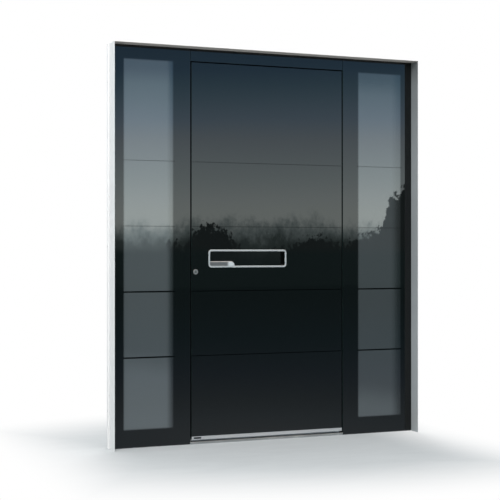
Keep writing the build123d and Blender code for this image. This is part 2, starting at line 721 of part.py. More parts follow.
with BuildPart() as leaf_gasket:
    seal_near, seal_far = REBATE_EDGE + SEAL_INSET, FLANGE_EDGE - SEAL_INSET
    seal_low, seal_high = HEAD_LOW + SEAL_INSET, FLANGE_TOP - SEAL_INSET
    seal_depth = (BACK + SEAL_CLEARANCE, FLANGE_FRONT)
    with BuildSketch(Plane.XY.offset(LEAF_BOTTOM)):
        strip((seal_near, seal_far), seal_depth)
    extrude(amount=seal_low - LEAF_BOTTOM)
    mirror(about=Plane.YZ)
    with BuildSketch(section_at(seal_far)):
        strip((seal_low, seal_high), seal_depth)
    extrude(amount=2 * seal_far)
finish(leaf_gasket.part, "leaf_gasket")

with BuildPart() as bottom_seal:
    with BuildSketch(section_at(LEAF_EDGE)):
        strip((THRESHOLD_HEIGHT + SEAL_CLEARANCE, LEAF_BOTTOM), (LOCK_Y - BRUSH_WIDTH, LOCK_Y))
    extrude(amount=LEAF_WIDTH)
finish(bottom_seal.part, "bottom_seal")

# Kick strip: folded stainless strip over the glass's lower edge, with a plain dark plate on it

STRIP_LOW = LEAF_BOTTOM - STRIP_THICKNESS
STRIP_FRONT = FRONT - STRIP_THICKNESS

with BuildPart() as kick_strip:
    with BuildSketch(section_at(LEAF_EDGE)):
        strip((STRIP_LOW, STRIP_LOW + STRIP_HEIGHT), (STRIP_FRONT, FRONT))
        strip((STRIP_LOW, LEAF_BOTTOM), (STRIP_FRONT, STRIP_FRONT + STRIP_RETURN))
    extrude(amount=LEAF_WIDTH)
finish(kick_strip.part, "kick_strip")

with BuildPart() as strip_plate:
    with BuildSketch(facing(STRIP_FRONT)):
        middle = (PLATE_INSET + PLATE_LENGTH / 2 - LEAF_EDGE, STRIP_LOW + STRIP_HEIGHT / 2)
        with Locations(middle):
            RectangleRounded(PLATE_LENGTH, PLATE_HEIGHT, PLATE_ROUND)
    extrude(amount=PLATE_THICKNESS)
finish(strip_plate.part, "strip_plate")

# Recessed handle: stainless rim, folded cup behind it, and the grip tab across its lower left

GRIP_FRONT = FRONT - GRIP_STAND

with BuildPart() as handle_rim:
    with BuildSketch(facing(FRONT)):
        with Locations((HANDLE_X, HANDLE_Z)):
            RectangleRounded(HANDLE_WIDTH, HANDLE_HEIGHT, HANDLE_CORNER)
            RectangleRounded(CUP_WIDTH, CUP_HEIGHT, CUP_CORNER, mode=Mode.SUBTRACT)
    extrude(amount=RIM_STAND)
    front_edges = handle_rim.edges().group_by(Axis.Y)[0]
    fillet(front_edges, RIM_ROUND)
finish(handle_rim.part, "handle_rim")

with BuildPart() as handle_cup:
    with BuildSketch(facing(FRONT)):
        cup_outline(CUP_WALL)
    extrude(amount=-CUP_DEPTH)
    with BuildSketch(facing(FRONT)):
        cup_outline(0)
    extrude(amount=-(CUP_DEPTH - CUP_WALL), mode=Mode.SUBTRACT)
finish(handle_cup.part, "handle_cup")

GRIP_LEFT = HANDLE_LEFT + RIM_WIDTH
GRIP_LOW = HANDLE_BOTTOM + RIM_WIDTH

with BuildPart() as handle_grip:
    with BuildSketch(facing(GRIP_FRONT + GRIP_THICKNESS)) as grip_outline:
        strip((GRIP_LEFT, GRIP_LEFT + GRIP_LENGTH), (GRIP_LOW, GRIP_LOW + GRIP_HEIGHT))
        top_right = grip_outline.vertices().group_by(Axis.Y)[-1].sort_by(Axis.X)[-1]
        fillet(top_right, GRIP_ROUND)
        low_left = grip_outline.vertices().group_by(Axis.Y)[0].sort_by(Axis.X)[0]
        fillet(low_left, CUP_CORNER)
    extrude(amount=GRIP_THICKNESS)
    face_edges = handle_grip.edges().group_by(Axis.Y)[0]
    right_edges = face_edges.filter_by(lambda edge: edge.center().X > GRIP_LEFT + GRIP_BEVEL)
    chamfer(right_edges.sort_by(Axis.Z)[1:], GRIP_BEVEL)
finish(handle_grip.part, "handle_grip")

# Lock: faceplate, cases, cylinder, cam and bolts, all held back at rest so that the leaf swings

with BuildPart() as lock_faceplate:
    with BuildSketch(section_at(LOCK_BACK)):
        strip((FACEPLATE_LOW, FACEPLATE_HIGH), FACEPLATE_Y)
    extrude(amount=FACEPLATE_THICKNESS)
    with BuildSketch(section_at(LOCK_BACK)):
        flat_openings(BOLT_CLEARANCE)
        with Locations([(height, LOCK_Y) for height in BOLT_HEIGHTS]):
            Circle(AUX_BOLT_RADIUS + BOLT_CLEARANCE)
    extrude(amount=FACEPLATE_THICKNESS, mode=Mode.SUBTRACT)
finish(lock_faceplate.part, "lock_faceplate")


def case_box(low, high, depth):
    """Hollow lock case behind the faceplate, open towards it."""
    thickness = (LOCK_Y - CASE_THICKNESS / 2, LOCK_Y + CASE_THICKNESS / 2)
    inner = (thickness[0] + CASE_WALL, thickness[1] - CASE_WALL)
    with BuildSketch(section_at(LOCK_BACK + depth)) as outside:
        strip((low, high), thickness)
    extrude(outside.sketch, amount=depth)
    with BuildSketch(section_at(LOCK_BACK + depth - CASE_WALL)) as inside:
        strip((low + CASE_WALL, high - CASE_WALL), inner)
    extrude(inside.sketch, amount=depth - CASE_WALL, mode=Mode.SUBTRACT)


with BuildPart() as lock_case:
    case_box(CASE_LOW, CASE_HIGH, CASE_DEPTH)
    with BuildSketch(facing(LOCK_Y - CASE_THICKNESS)):
        cylinder_outline(HOLE_CLEARANCE)
        spindle_hole()
    extrude(amount=-2 * CASE_THICKNESS, mode=Mode.SUBTRACT)
finish(lock_case.part, "lock_case")

with BuildPart() as aux_lock_cases:
    for height in BOLT_HEIGHTS:
        case_box(height - AUX_CASE_HEIGHT / 2, height + AUX_CASE_HEIGHT / 2, CASE_DEPTH)
finish(aux_lock_cases.part, "aux_lock_cases")

PLUG_BORE = PLUG_RADIUS + PLUG_CLEARANCE
CYLINDER_BACK = LEAF_BACK + ROSE_THICKNESS

with BuildPart() as cylinder_body:
    with BuildSketch(facing(SHELL_FRONT)):
        cylinder_outline(0)
    extrude(amount=-(CYLINDER_BACK - SHELL_FRONT))
    with BuildSketch(facing(SHELL_FRONT)):
        with Locations((CYLINDER_X, CYLINDER_Z)):
            Circle(PLUG_BORE)
    extrude(amount=-(CYLINDER_BACK - SHELL_FRONT), mode=Mode.SUBTRACT)
    with BuildSketch(facing(LOCK_Y - CAM_GAP / 2)):
        with Locations((CYLINDER_X, CYLINDER_Z)):
            Circle(CAM_SWEEP)
    extrude(amount=-CAM_GAP, mode=Mode.SUBTRACT)
finish(cylinder_body.part, "cylinder_body")

with BuildPart() as cylinder_rosette:
    with BuildSketch(facing(FRONT)):
        with Locations((CYLINDER_X, CYLINDER_Z)):
            Circle(ROSETTE_RADIUS)
    extrude(amount=ROSETTE_STAND)
    chamfer(cylinder_rosette.edges().group_by(Axis.Y)[0], ROSETTE_BEVEL)
    with BuildSketch(facing(FRONT)):
        with Locations((CYLINDER_X, CYLINDER_Z)):
            Circle(ROSETTE_SLEEVE)
    extrude(amount=-OUTER_PANE)
    with BuildSketch(facing(FRONT - ROSETTE_STAND)):
        with Locations((CYLINDER_X, CYLINDER_Z)):
            Circle(PLUG_BORE)
    extrude(amount=-(OUTER_PANE + ROSETTE_STAND), mode=Mode.SUBTRACT)
finish(cylinder_rosette.part, "cylinder_rosette")

with BuildPart() as key_plug:
    plug_front = FRONT - ROSETTE_STAND
    with BuildSketch(facing(plug_front)):
        with Locations((CYLINDER_X, CYLINDER_Z)):
            Circle(PLUG_RADIUS)
    extrude(amount=-(LOCK_Y - CAM_GAP / 2 - plug_front))
    with BuildSketch(facing(plug_front)):
        with Locations((CYLINDER_X, CYLINDER_Z)):
            Rectangle(KEY_SLOT_WIDTH, KEY_SLOT_HEIGHT)
    extrude(amount=-KEY_SLOT_DEPTH, mode=Mode.SUBTRACT)
finish(key_plug.part, "key_plug")

with BuildPart() as lock_cam:
    with BuildSketch(facing(LOCK_Y - CAM_THICKNESS / 2)):
        with Locations((CYLINDER_X, CYLINDER_Z)):
            Circle(CYLINDER_RADIUS - CAM_CLEARANCE)
        half = CYLINDER_LOBE / 2 - CAM_CLEARANCE
        strip((CYLINDER_X - half, CYLINDER_X + half), (CYLINDER_Z - CAM_REACH, CYLINDER_Z))
    extrude(amount=-CAM_THICKNESS)
finish(lock_cam.part, "lock_cam")

with BuildPart() as thumb_turn:
    with BuildSketch(facing(LOCK_Y + CAM_THICKNESS / 2)):
        with Locations((CYLINDER_X, CYLINDER_Z)):
            Circle(PLUG_RADIUS)
    extrude(amount=-(CYLINDER_BACK + SEAL_CLEARANCE - LOCK_Y - CAM_THICKNESS / 2))
    with BuildSketch(facing(CYLINDER_BACK + SEAL_CLEARANCE)):
        with Locations((CYLINDER_X, CYLINDER_Z)):
            Circle(KNOB_RADIUS)
    extrude(amount=-KNOB_BASE)
    with BuildSketch(facing(CYLINDER_BACK + SEAL_CLEARANCE + KNOB_BASE)):
        with Locations((CYLINDER_X, CYLINDER_Z)):
            SlotOverall(KNOB_WING, KNOB_GRIP_THICKNESS, rotation=90)
    extrude(amount=-KNOB_GRIP)
    fillet(thumb_turn.edges().group_by(Axis.Y)[-1], KNOB_ROUND)
finish(thumb_turn.part, "thumb_turn")

with BuildPart() as inside_roses:
    for height, bore in ((CYLINDER_Z, 0), (SPINDLE_Z, SPINDLE_SIDE)):
        with BuildSketch(facing(LEAF_BACK)):
            with Locations((CYLINDER_X, height)):
                Circle(ROSE_RADIUS)
                if bore:
                    Circle(LEVER_RADIUS + SPINDLE_CLEARANCE, mode=Mode.SUBTRACT)
        extrude(amount=-ROSE_THICKNESS)
    chamfer(inside_roses.edges().group_by(Axis.Y)[-1].sort_by(SortBy.LENGTH)[-2:], ROSE_BEVEL)
    with BuildSketch(facing(LEAF_BACK)):
        cylinder_outline(HOLE_CLEARANCE / 2)
    extrude(amount=-ROSE_THICKNESS, mode=Mode.SUBTRACT)
finish(inside_roses.part, "inside_roses")

# Lever on a square spindle, pressed down to draw the latch

LEVER_FRONT = LEAF_BACK + LEVER_SINK
LEVER_TURN = LEAF_BACK + LEVER_NECK

with BuildPart() as lever_spindle:
    with BuildSketch(facing(LOCK_Y - CASE_THICKNESS)):
        with Locations((CYLINDER_X, SPINDLE_Z)):
            Rectangle(SPINDLE_SIDE, SPINDLE_SIDE)
    extrude(amount=-(LEVER_FRONT - LOCK_Y + CASE_THICKNESS + LEVER_RADIUS))
finish(lever_spindle.part, "lever_spindle")

with BuildPart() as lever_handle:
    with BuildLine() as lever_path:
        FilletPolyline(
            (CYLINDER_X, LEVER_FRONT, SPINDLE_Z),
            (CYLINDER_X, LEVER_TURN, SPINDLE_Z),
            (CYLINDER_X + LEVER_LENGTH, LEVER_TURN, SPINDLE_Z),
            radius=LEVER_BEND,
        )
    with BuildSketch(facing(LEVER_FRONT)):
        with Locations((CYLINDER_X, SPINDLE_Z)):
            Circle(LEVER_RADIUS)
    sweep(path=lever_path.line)
    fillet(lever_handle.edges().group_by(Axis.X)[-1], LEVER_ROUND)
    with BuildSketch(facing(LEVER_FRONT)):
        with Locations((CYLINDER_X, SPINDLE_Z)):
            Rectangle(SPINDLE_SIDE, SPINDLE_SIDE)
    extrude(amount=-LEVER_RADIUS, mode=Mode.SUBTRACT)
finish(lever_handle.part, "lever_handle")


def flat_bolt(height, tall, length, name, bevel=0):
    """Square bolt with its head flush with the faceplate, bevelled on its closing side if it is a latch."""
    with BuildPart() as bolt:
        with BuildSketch(Plane.XY.offset(height - tall / 2)):
            thickness = (LOCK_Y - BOLT_THICKNESS / 2, LOCK_Y + BOLT_THICKNESS / 2)
            strip((LOCK_FRONT, LOCK_FRONT + length), thickness)
        extrude(amount=tall)
        if bevel:
            upright = bolt.edges().filter_by(Axis.Z)
            nose = upright.group_by(Axis.X)[0].sort_by(Axis.Y)[0]
            chamfer(nose, bevel)
    finish(bolt.part, name)


flat_bolt(LATCH_Z, LATCH_HEIGHT, BOLT_LENGTH, "latch_bolt", LATCH_BEVEL)
flat_bolt(DEAD_BOLT_Z, BOLT_HEIGHT, BOLT_LENGTH, "dead_bolt")

for height, name in ((AUX_BOLT_LOW, "lower_bolt"), (AUX_BOLT_HIGH, "upper_bolt")):
    with BuildPart() as round_bolt:
        with BuildSketch(section_at(LOCK_FRONT + BOLT_LENGTH)):
            with Locations((height, LOCK_Y)):
                Circle(AUX_BOLT_RADIUS)
        extrude(amount=BOLT_LENGTH)
        chamfer(round_bolt.edges().group_by(Axis.X)[0], AUX_BOLT_BEVEL)
    finish(round_bolt.part, name)

STRIKE_Y = (LOCK_Y - STRIKE_WIDTH / 2, LOCK_Y + STRIKE_WIDTH / 2)
STRIKE_MIDDLE = (LATCH_Z + DEAD_BOLT_Z) / 2

with BuildPart() as strike_plates:
    with BuildSketch(section_at(STRIKE_THICKNESS - REBATE_EDGE)):
        strip((STRIKE_MIDDLE - STRIKE_LENGTH / 2, STRIKE_MIDDLE + STRIKE_LENGTH / 2), STRIKE_Y)
        for height in BOLT_HEIGHTS:
            strip((height - AUX_STRIKE_LENGTH / 2, height + AUX_STRIKE_LENGTH / 2), STRIKE_Y)
    extrude(amount=STRIKE_THICKNESS)
    with BuildSketch(section_at(STRIKE_THICKNESS - REBATE_EDGE)):
        strike_openings()
    extrude(amount=STRIKE_THICKNESS, mode=Mode.SUBTRACT)
finish(strike_plates.part, "strike_plates")

# Hinges: the frame half holds the pin in its outer knuckles, the leaf half turns between them

def knuckle(height, reach, depth):
    """Barrel knuckle joined to its plate by a web, bored for the pin."""
    with BuildSketch(Plane.XY.offset(height)) as section:
        with Locations((HINGE_X, HINGE_Y)):
            Circle(KNUCKLE_RADIUS)
        strip(reach, depth)
        with Locations((HINGE_X, HINGE_Y)):
            Circle(PIN_RADIUS + PIN_CLEARANCE, mode=Mode.SUBTRACT)
    extrude(section.sketch, amount=KNUCKLE_HEIGHT)


def hinge_screws(place, low, high):
    """Places of the screws in one hinge plate, along X and Z."""
    heights = (low + HINGE_SCREW_INSET, (low + high) / 2, high - HINGE_SCREW_INSET)
    return [(place, height) for height in heights]


FRAME_PLATE = (HINGE_X, HINGE_X + KNUCKLE_RADIUS + HINGE_PLATE_WIDTH)
FRAME_SCREW_X = FRAME_PLATE[1] - HINGE_SCREW_X
LEAF_PLATE = (FLANGE_EDGE - HINGE_PLATE_WIDTH, FLANGE_EDGE)
LEAF_SCREW_X = LEAF_PLATE[0] + HINGE_SCREW_X
STEP = KNUCKLE_HEIGHT + KNUCKLE_GAP
FRAME_SCREWS = []
LEAF_SCREWS = []
for middle in HINGE_HEIGHTS:
    FRAME_SCREWS += hinge_screws(FRAME_SCREW_X, middle - HINGE_HEIGHT / 2, middle + HINGE_HEIGHT / 2)
    LEAF_SCREWS += hinge_screws(LEAF_SCREW_X, middle - HINGE_HEIGHT / 2, middle + HINGE_HEIGHT / 2)


def hinge_plate(across, middle, depth):
    """Flat plate of a hinge half with rounded free corners."""
    with BuildSketch(facing(depth)) as outline:
        with Locations(((across[0] + across[1]) / 2, middle)):
            RectangleRounded(across[1] - across[0], HINGE_HEIGHT, HINGE_ROUND)
    extrude(outline.sketch, amount=-HINGE_PLATE)


def countersunk(places, depth, margin, mode=Mode.ADD):
    """Countersunk screws, or holes grown by a margin, through a plate whose outer face lies at this depth."""
    with BuildSketch(facing(depth)) as shanks:
        with Locations(places):
            Circle(SCREW_RADIUS + margin)
    extrude(shanks.sketch, amount=HINGE_PLATE, mode=mode)
    with BuildSketch(facing(depth)) as heads:
        with Locations(places):
            Circle(SCREW_HEAD + margin)
    extrude(heads.sketch, amount=SCREW_HEAD_HEIGHT, taper=SCREW_TAPER, mode=mode)


with BuildPart() as hinge_frame_halves:
    for middle in HINGE_HEIGHTS:
        hinge_plate(FRAME_PLATE, middle, BACK)
        for height in (middle - HINGE_HEIGHT / 2, middle - HINGE_HEIGHT / 2 + 2 * STEP):
            knuckle(height, (HINGE_X, HINGE_X + KNUCKLE_RADIUS), (BACK, HINGE_Y))
    countersunk(FRAME_SCREWS, BACK + HINGE_PLATE, PIN_CLEARANCE, mode=Mode.SUBTRACT)
finish(hinge_frame_halves.part, "hinge_frame_halves")

with BuildPart() as hinge_leaf_halves:
    for middle in HINGE_HEIGHTS:
        hinge_plate(LEAF_PLATE, middle, LEAF_BACK)
        knuckle(
            middle - KNUCKLE_HEIGHT / 2,
            (FLANGE_EDGE - HINGE_PLATE, HINGE_X),
            (LEAF_BACK, LEAF_BACK + HINGE_PLATE),
        )
    countersunk(LEAF_SCREWS, LEAF_BACK + HINGE_PLATE, PIN_CLEARANCE, mode=Mode.SUBTRACT)
finish(hinge_leaf_halves.part, "hinge_leaf_halves")

with BuildPart() as hinge_pins:
    for middle in HINGE_HEIGHTS:
        with BuildSketch(Plane.XY.offset(middle - HINGE_HEIGHT / 2)):
            with Locations((HINGE_X, HINGE_Y)):
                Circle(PIN_RADIUS)
        extrude(amount=HINGE_HEIGHT)
        for base, rise in ((middle - HINGE_HEIGHT / 2, -PIN_CAP), (middle + HINGE_HEIGHT / 2, PIN_CAP)):
            with BuildSketch(Plane.XY.offset(base)):
                with Locations((HINGE_X, HINGE_Y)):
                    Circle(KNUCKLE_RADIUS)
            extrude(amount=rise)
finish(hinge_pins.part, "hinge_pins")

# Fasteners

with BuildPart() as casing_screws:
    casing_screw_places = [(height, CASING_SCREW_Y) for height in CASING_SCREW_HEIGHTS]
    with BuildSketch(section_at(CASING_EDGE)):
        with Locations(casing_screw_places):
            Circle(SCREW_RADIUS)
    extrude(amount=CASING_SHEET)
    with BuildSketch(section_at(CASING_EDGE)):
        with Locations(casing_screw_places):
            Circle(SCREW_HEAD)
    extrude(amount=-SCREW_HEAD_HEIGHT)
    mirror(about=Plane.YZ)
finish(casing_screws.part, "casing_screws")

with BuildPart() as frame_screws:
    countersunk(FRAME_SCREWS, BACK + HINGE_PLATE, 0)
finish(frame_screws.part, "frame_screws")

with BuildPart() as leaf_screws:
    countersunk(LEAF_SCREWS, LEAF_BACK + HINGE_PLATE, 0)
finish(leaf_screws.part, "leaf_screws")
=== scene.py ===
import math

import bmesh
import bpy
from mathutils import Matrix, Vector


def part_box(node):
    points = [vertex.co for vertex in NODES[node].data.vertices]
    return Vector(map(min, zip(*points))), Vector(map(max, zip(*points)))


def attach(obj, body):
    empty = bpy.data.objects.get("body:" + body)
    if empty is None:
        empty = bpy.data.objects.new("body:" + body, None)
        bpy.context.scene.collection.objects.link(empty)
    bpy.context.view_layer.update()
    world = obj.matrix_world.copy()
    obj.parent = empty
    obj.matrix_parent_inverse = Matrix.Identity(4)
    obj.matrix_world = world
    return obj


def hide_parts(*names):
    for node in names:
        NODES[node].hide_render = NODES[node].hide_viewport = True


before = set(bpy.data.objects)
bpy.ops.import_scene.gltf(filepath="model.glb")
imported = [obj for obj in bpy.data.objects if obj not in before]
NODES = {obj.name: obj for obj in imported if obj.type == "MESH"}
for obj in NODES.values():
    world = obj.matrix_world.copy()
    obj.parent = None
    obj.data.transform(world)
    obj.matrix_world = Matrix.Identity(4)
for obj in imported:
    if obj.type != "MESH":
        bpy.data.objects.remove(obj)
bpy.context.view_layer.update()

bl_info = {
    "name": "Glass Entrance Door",
    "version": (1, 0, 0),
    "blender": (4, 5, 0),
    "location": "3D View > Sidebar > Entrance Door",
    "description": "Dresses a glass entrance door with two sidelights and sets it on a studio stage",
    "category": "Object",
}

GLASS_INDEX = 1.5

# Half of the frame's width and its height: the wall covers what lies beyond them
HALF_WIDTH, _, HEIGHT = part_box("head_rail")[1]


# Node trees

class Sum:
    """A shader socket that adds a Math node for each operator used on it."""

    def __init__(self, tree, socket):
        self.tree = tree
        self.socket = socket

    def step(self, operation, *values):
        node = self.tree.node("ShaderNodeMath", {"operation": operation}, dict(enumerate(values)))
        return Sum(self.tree, node.outputs[0])

    def __add__(self, other):
        return self.step("ADD", self, other)

    __radd__ = __add__

    def __sub__(self, other):
        return self.step("SUBTRACT", self, other)

    def __rsub__(self, other):
        return self.step("SUBTRACT", other, self)

    def __mul__(self, other):
        return self.step("MULTIPLY", self, other)

    __rmul__ = __mul__

    def __truediv__(self, other):
        return self.step("DIVIDE", self, other)

    def __rtruediv__(self, other):
        return self.step("DIVIDE", other, self)

    def size(self):
        return self.step("ABSOLUTE", self)

    def root(self):
        return self.step("SQRT", self)

    def fraction(self):
        return self.step("FRACT", self)

    def above(self, edge):
        return self.step("GREATER_THAN", self, edge)

    def larger(self, other):
        return self.step("MAXIMUM", self, other)

    def ramp(self, low, high):
        """0 at low and 1 at high, smooth between them. Low may be the greater one."""
        node = self.tree.node("ShaderNodeMapRange", {"interpolation_type": "SMOOTHSTEP"},
                              {"Value": self, "From Min": low, "From Max": high})
        return Sum(self.tree, node.outputs[0])


class Tree:
    """A node tree being built."""

    def __init__(self, tree):
        self.tree = tree
        self.tree.nodes.clear()

    def node(self, kind, settings=None, values=None):
        made = self.tree.nodes.new(kind)
        for name, value in (settings or {}).items():
            if name == "stops":
                self.fill_ramp(made.color_ramp, value)
            else:
                setattr(made, name, value)
        for name, value in (values or {}).items():
            self.join(value, made.inputs[name])
        return made

    @staticmethod
    def fill_ramp(ramp, stops):
        ramp.elements.remove(ramp.elements[-1])
        for place, (at, colour) in enumerate(stops):
            element = ramp.elements.new(at) if place else ramp.elements[0]
            element.position = at
            element.color = (*colour, 1.0)

    def join(self, value, socket):
        if isinstance(value, Sum):
            value = value.socket
        if isinstance(value, bpy.types.NodeSocket):
            self.tree.links.new(value, socket)
        elif socket.type == "RGBA":
            socket.default_value = (*value, 1.0)
        else:
            socket.default_value = value


class Finish(Tree):
    """The node tree of a material or of the world."""

    def __init__(self, owner):
        owner.use_nodes = True
        super().__init__(owner.node_tree)
        self.owner = owner

    def here(self):
        """Object coordinates."""
        return self.node("ShaderNodeTexCoord").outputs["Object"]

    def parts(self, vector):
        """The three numbers of a vector."""
        split = self.node("ShaderNodeSeparateXYZ", {}, {0: vector})
        return [Sum(self, socket) for socket in split.outputs]

    def place(self):
        """Object coordinates, whole and as three numbers."""
        at = self.here()
        return at, *self.parts(at)

    def rim(self, low=0.8, high=0.4):
        """1 on faces that look sideways, up or down, and 0 on faces that look outside or inside."""
        return self.parts(self.node("ShaderNodeTexCoord").outputs["Normal"])[1].size().ramp(low, high)

    def stretched(self, at, scale):
        return self.node("ShaderNodeMapping", {}, {"Vector": at, "Scale": scale}).outputs[0]

    def noise(self, at, scale, detail=2.0, roughness=0.5, distortion=0.0):
        made = self.node("ShaderNodeTexNoise", {}, {"Vector": at, "Scale": scale, "Detail": detail,
                                                    "Roughness": roughness, "Distortion": distortion})
        return Sum(self, made.outputs[0])

    def cells(self, at, scale):
        """Distance from the nearest of many scattered points."""
        return Sum(self, self.node("ShaderNodeTexVoronoi", {}, {"Vector": at, "Scale": scale}).outputs[0])

    def tones(self, factor, *stops):
        """Colours by height of a factor, each stop a place from 0 to 1 and a colour."""
        return self.node("ShaderNodeValToRGB", {"stops": stops}, {0: factor}).outputs[0]

    def blend(self, factor, first, second):
        made = self.node("ShaderNodeMix", {"data_type": "RGBA"}, {0: factor})
        self.join(first, made.inputs[6])
        self.join(second, made.inputs[7])
        return made.outputs[2]

    def bump(self, height, strength, distance):
        return self.node("ShaderNodeBump", {}, {"Height": height, "Strength": strength,
                                                "Distance": distance}).outputs[0]

    def shader(self, **values):
        named = {name.replace("_", " "): value for name, value in values.items()}
        return self.node("ShaderNodeBsdfPrincipled", {}, named).outputs[0]

    def plain(self, kind, colour, **values):
        """A shader of one colour: BsdfDiffuse, Emission or Background."""
        return self.node(f"ShaderNode{kind}", {}, {"Color": colour, **values}).outputs[0]

    def mixed(self, factor, first, second):
        return self.node("ShaderNodeMixShader", {}, {0: factor, 1: first, 2: second}).outputs[0]

    def show(self, shader):
        kind = "World" if isinstance(self.owner, bpy.types.World) else "Material"
        self.node(f"ShaderNodeOutput{kind}", {}, {"Surface": shader})
        return self.owner


class Pattern(Tree):
    """A Geometry Nodes tree with named inputs, whose copies end as one plain mesh."""

    def __init__(self, name, **inputs):
        group = bpy.data.node_groups.new(name, "GeometryNodeTree")
        super().__init__(group)
        for given, kind in {"Geometry": "Geometry", **inputs, "Finish": "Material"}.items():
            group.interface.new_socket(name=given, in_out="INPUT", socket_type=f"NodeSocket{kind}")
        group.interface.new_socket(name="Geometry", in_out="OUTPUT", socket_type="NodeSocketGeometry")
        self.given = self.node("NodeGroupInput").outputs

    def close(self, copies):
        real = self.node("GeometryNodeRealizeInstances", {}, {0: copies}).outputs[0]
        done = self.node("GeometryNodeSetMaterial", {}, {"Geometry": real,
                                                         "Material": self.given["Finish"]})
        self.node("NodeGroupOutput", {}, {0: done.outputs[0]})

    def grow(self, carrier, **values):
        """Runs the tree on a carrier, keeps the result as its own mesh and drops the modifier."""
        modifier = carrier.modifiers.new("Pattern", "NODES")
        modifier.node_group = self.tree
        for socket in self.tree.interface.items_tree:
            if socket.in_out == "INPUT" and socket.name in values:
                modifier[socket.identifier] = values[socket.name]
        grown = carrier.evaluated_get(bpy.context.evaluated_depsgraph_get())
        mesh = bpy.data.meshes.new_from_object(grown)
        carrier.modifiers.remove(modifier)
        carrier.data = mesh
        return carrier


# Small helpers

def new_finish(name):
    return Finish(bpy.data.materials.new(name))


def dress(material, *names):
    """Gives CAD nodes a material in the slots that they have."""
    for name in names:
        node = NODES[name]
        if not node.material_slots:
            node.data.materials.append(material)
        for slot in node.material_slots:
            slot.material = material


def shade(colour, share):
    return tuple(channel * share for channel in colour)


def add_object(name, data):
    made = bpy.data.objects.new(name, data)
    bpy.context.scene.collection.objects.link(made)
    return made


def add_shape(name, shaped):
    """An object from a finished bmesh, its faces turned outwards."""
    bmesh.ops.recalc_face_normals(shaped, faces=shaped.faces)
    mesh = bpy.data.meshes.new(name)
    shaped.to_mesh(mesh)
    shaped.free()
    return add_object(name, mesh)


def join_loops(shaped, loops):
    """Walls from each loop of vertices to the next, with the first and the last loop closed."""
    for first, second in zip(loops, loops[1:]):
        for n in range(len(first)):
            m = (n + 1) % len(first)
            shaped.faces.new((first[n], first[m], second[m], second[n]))
    shaped.faces.new(loops[0])
    shaped.faces.new(loops[-1])


# Sizes and colours a user would change

class GlassLook(bpy.types.PropertyGroup):
    enamel: bpy.props.FloatVectorProperty(
        name="Enamel", description="Colour of the black enamel behind the glass",
        subtype="COLOR", size=3, default=(0.0016, 0.0022, 0.0022))
    satin: bpy.props.FloatVectorProperty(
        name="Satin", description="Colour of the satin print in the sidelight windows",
        subtype="COLOR", size=3, default=(0.065, 0.075, 0.079))
    window_near: bpy.props.FloatProperty(
        name="Window Near Edge", description="Inner edge of a sidelight window from the middle of the door",
        unit="LENGTH", default=0.639)
    window_far: bpy.props.FloatProperty(
        name="Window Far Edge", description="Outer edge of a sidelight window from the middle of the door",
        unit="LENGTH", default=0.952)
    window_low: bpy.props.FloatProperty(
        name="Window Bottom", description="Lower edge of the sidelight windows",
        unit="LENGTH", default=0.112)
    window_high: bpy.props.FloatProperty(
        name="Window Top", description="Upper edge of the sidelight windows",
        unit="LENGTH", default=2.360)
    fade: bpy.props.FloatProperty(
        name="Fade", description="Width over which the satin print fades out",
        unit="LENGTH", default=0.014)
    groove_top: bpy.props.FloatProperty(
        name="Top Groove", description="Height of the highest groove", unit="LENGTH", default=1.7468)
    groove_step: bpy.props.FloatProperty(
        name="Groove Step", description="Height between two grooves", unit="LENGTH", default=0.4)


class MetalLook(bpy.types.PropertyGroup):
    coat: bpy.props.FloatVectorProperty(
        name="Powder Coat", description="Colour of the coated aluminium profiles",
        subtype="COLOR", size=3, default=(0.020, 0.021, 0.023))
    casing: bpy.props.FloatVectorProperty(
        name="Casing", description="Colour of the reveal casing",
        subtype="COLOR", size=3, default=(0.41, 0.44, 0.45))
    primer: bpy.props.FloatVectorProperty(
        name="Primer", description="Colour of the faces that the wall covers",
        subtype="COLOR", size=3, default=(0.89, 0.89, 0.88))


class FittingLook(bpy.types.PropertyGroup):
    steel: bpy.props.FloatVectorProperty(
        name="Stainless Steel", description="Colour of the brushed stainless pieces",
        subtype="COLOR", size=3, default=(0.67, 0.625, 0.60))
    zinc: bpy.props.FloatVectorProperty(
        name="Zinc Plate", description="Colour of the zinc-plated lock steel",
        subtype="COLOR", size=3, default=(0.50, 0.50, 0.47))
    nickel: bpy.props.FloatVectorProperty(
        name="Nickel", description="Colour of the lock cylinder",
        subtype="COLOR", size=3, default=(0.56, 0.53, 0.47))
    screw_radius: bpy.props.FloatProperty(
        name="Screw Head Radius", description="Radius of a countersunk head", unit="LENGTH",
        default=0.0048)
    screw_length: bpy.props.FloatProperty(
        name="Screw Length", description="Length of a screw from its head", unit="LENGTH",
        default=0.004)
    socket_radius: bpy.props.FloatProperty(
        name="Screw Socket Radius", description="Mean radius of the star-shaped socket in a head",
        unit="LENGTH", default=0.0021)
    bristle_length: bpy.props.FloatProperty(
        name="Bristle Length", description="Length of the bristles under the leaf", unit="LENGTH",
        default=0.0118)
    bristle_step: bpy.props.FloatProperty(
        name="Bristle Step", description="Distance between bristles along the leaf", unit="LENGTH",
        default=0.0026)
    seed: bpy.props.IntProperty(
        name="Seed", description="Number that fixes the random turns and tilts", default=7)


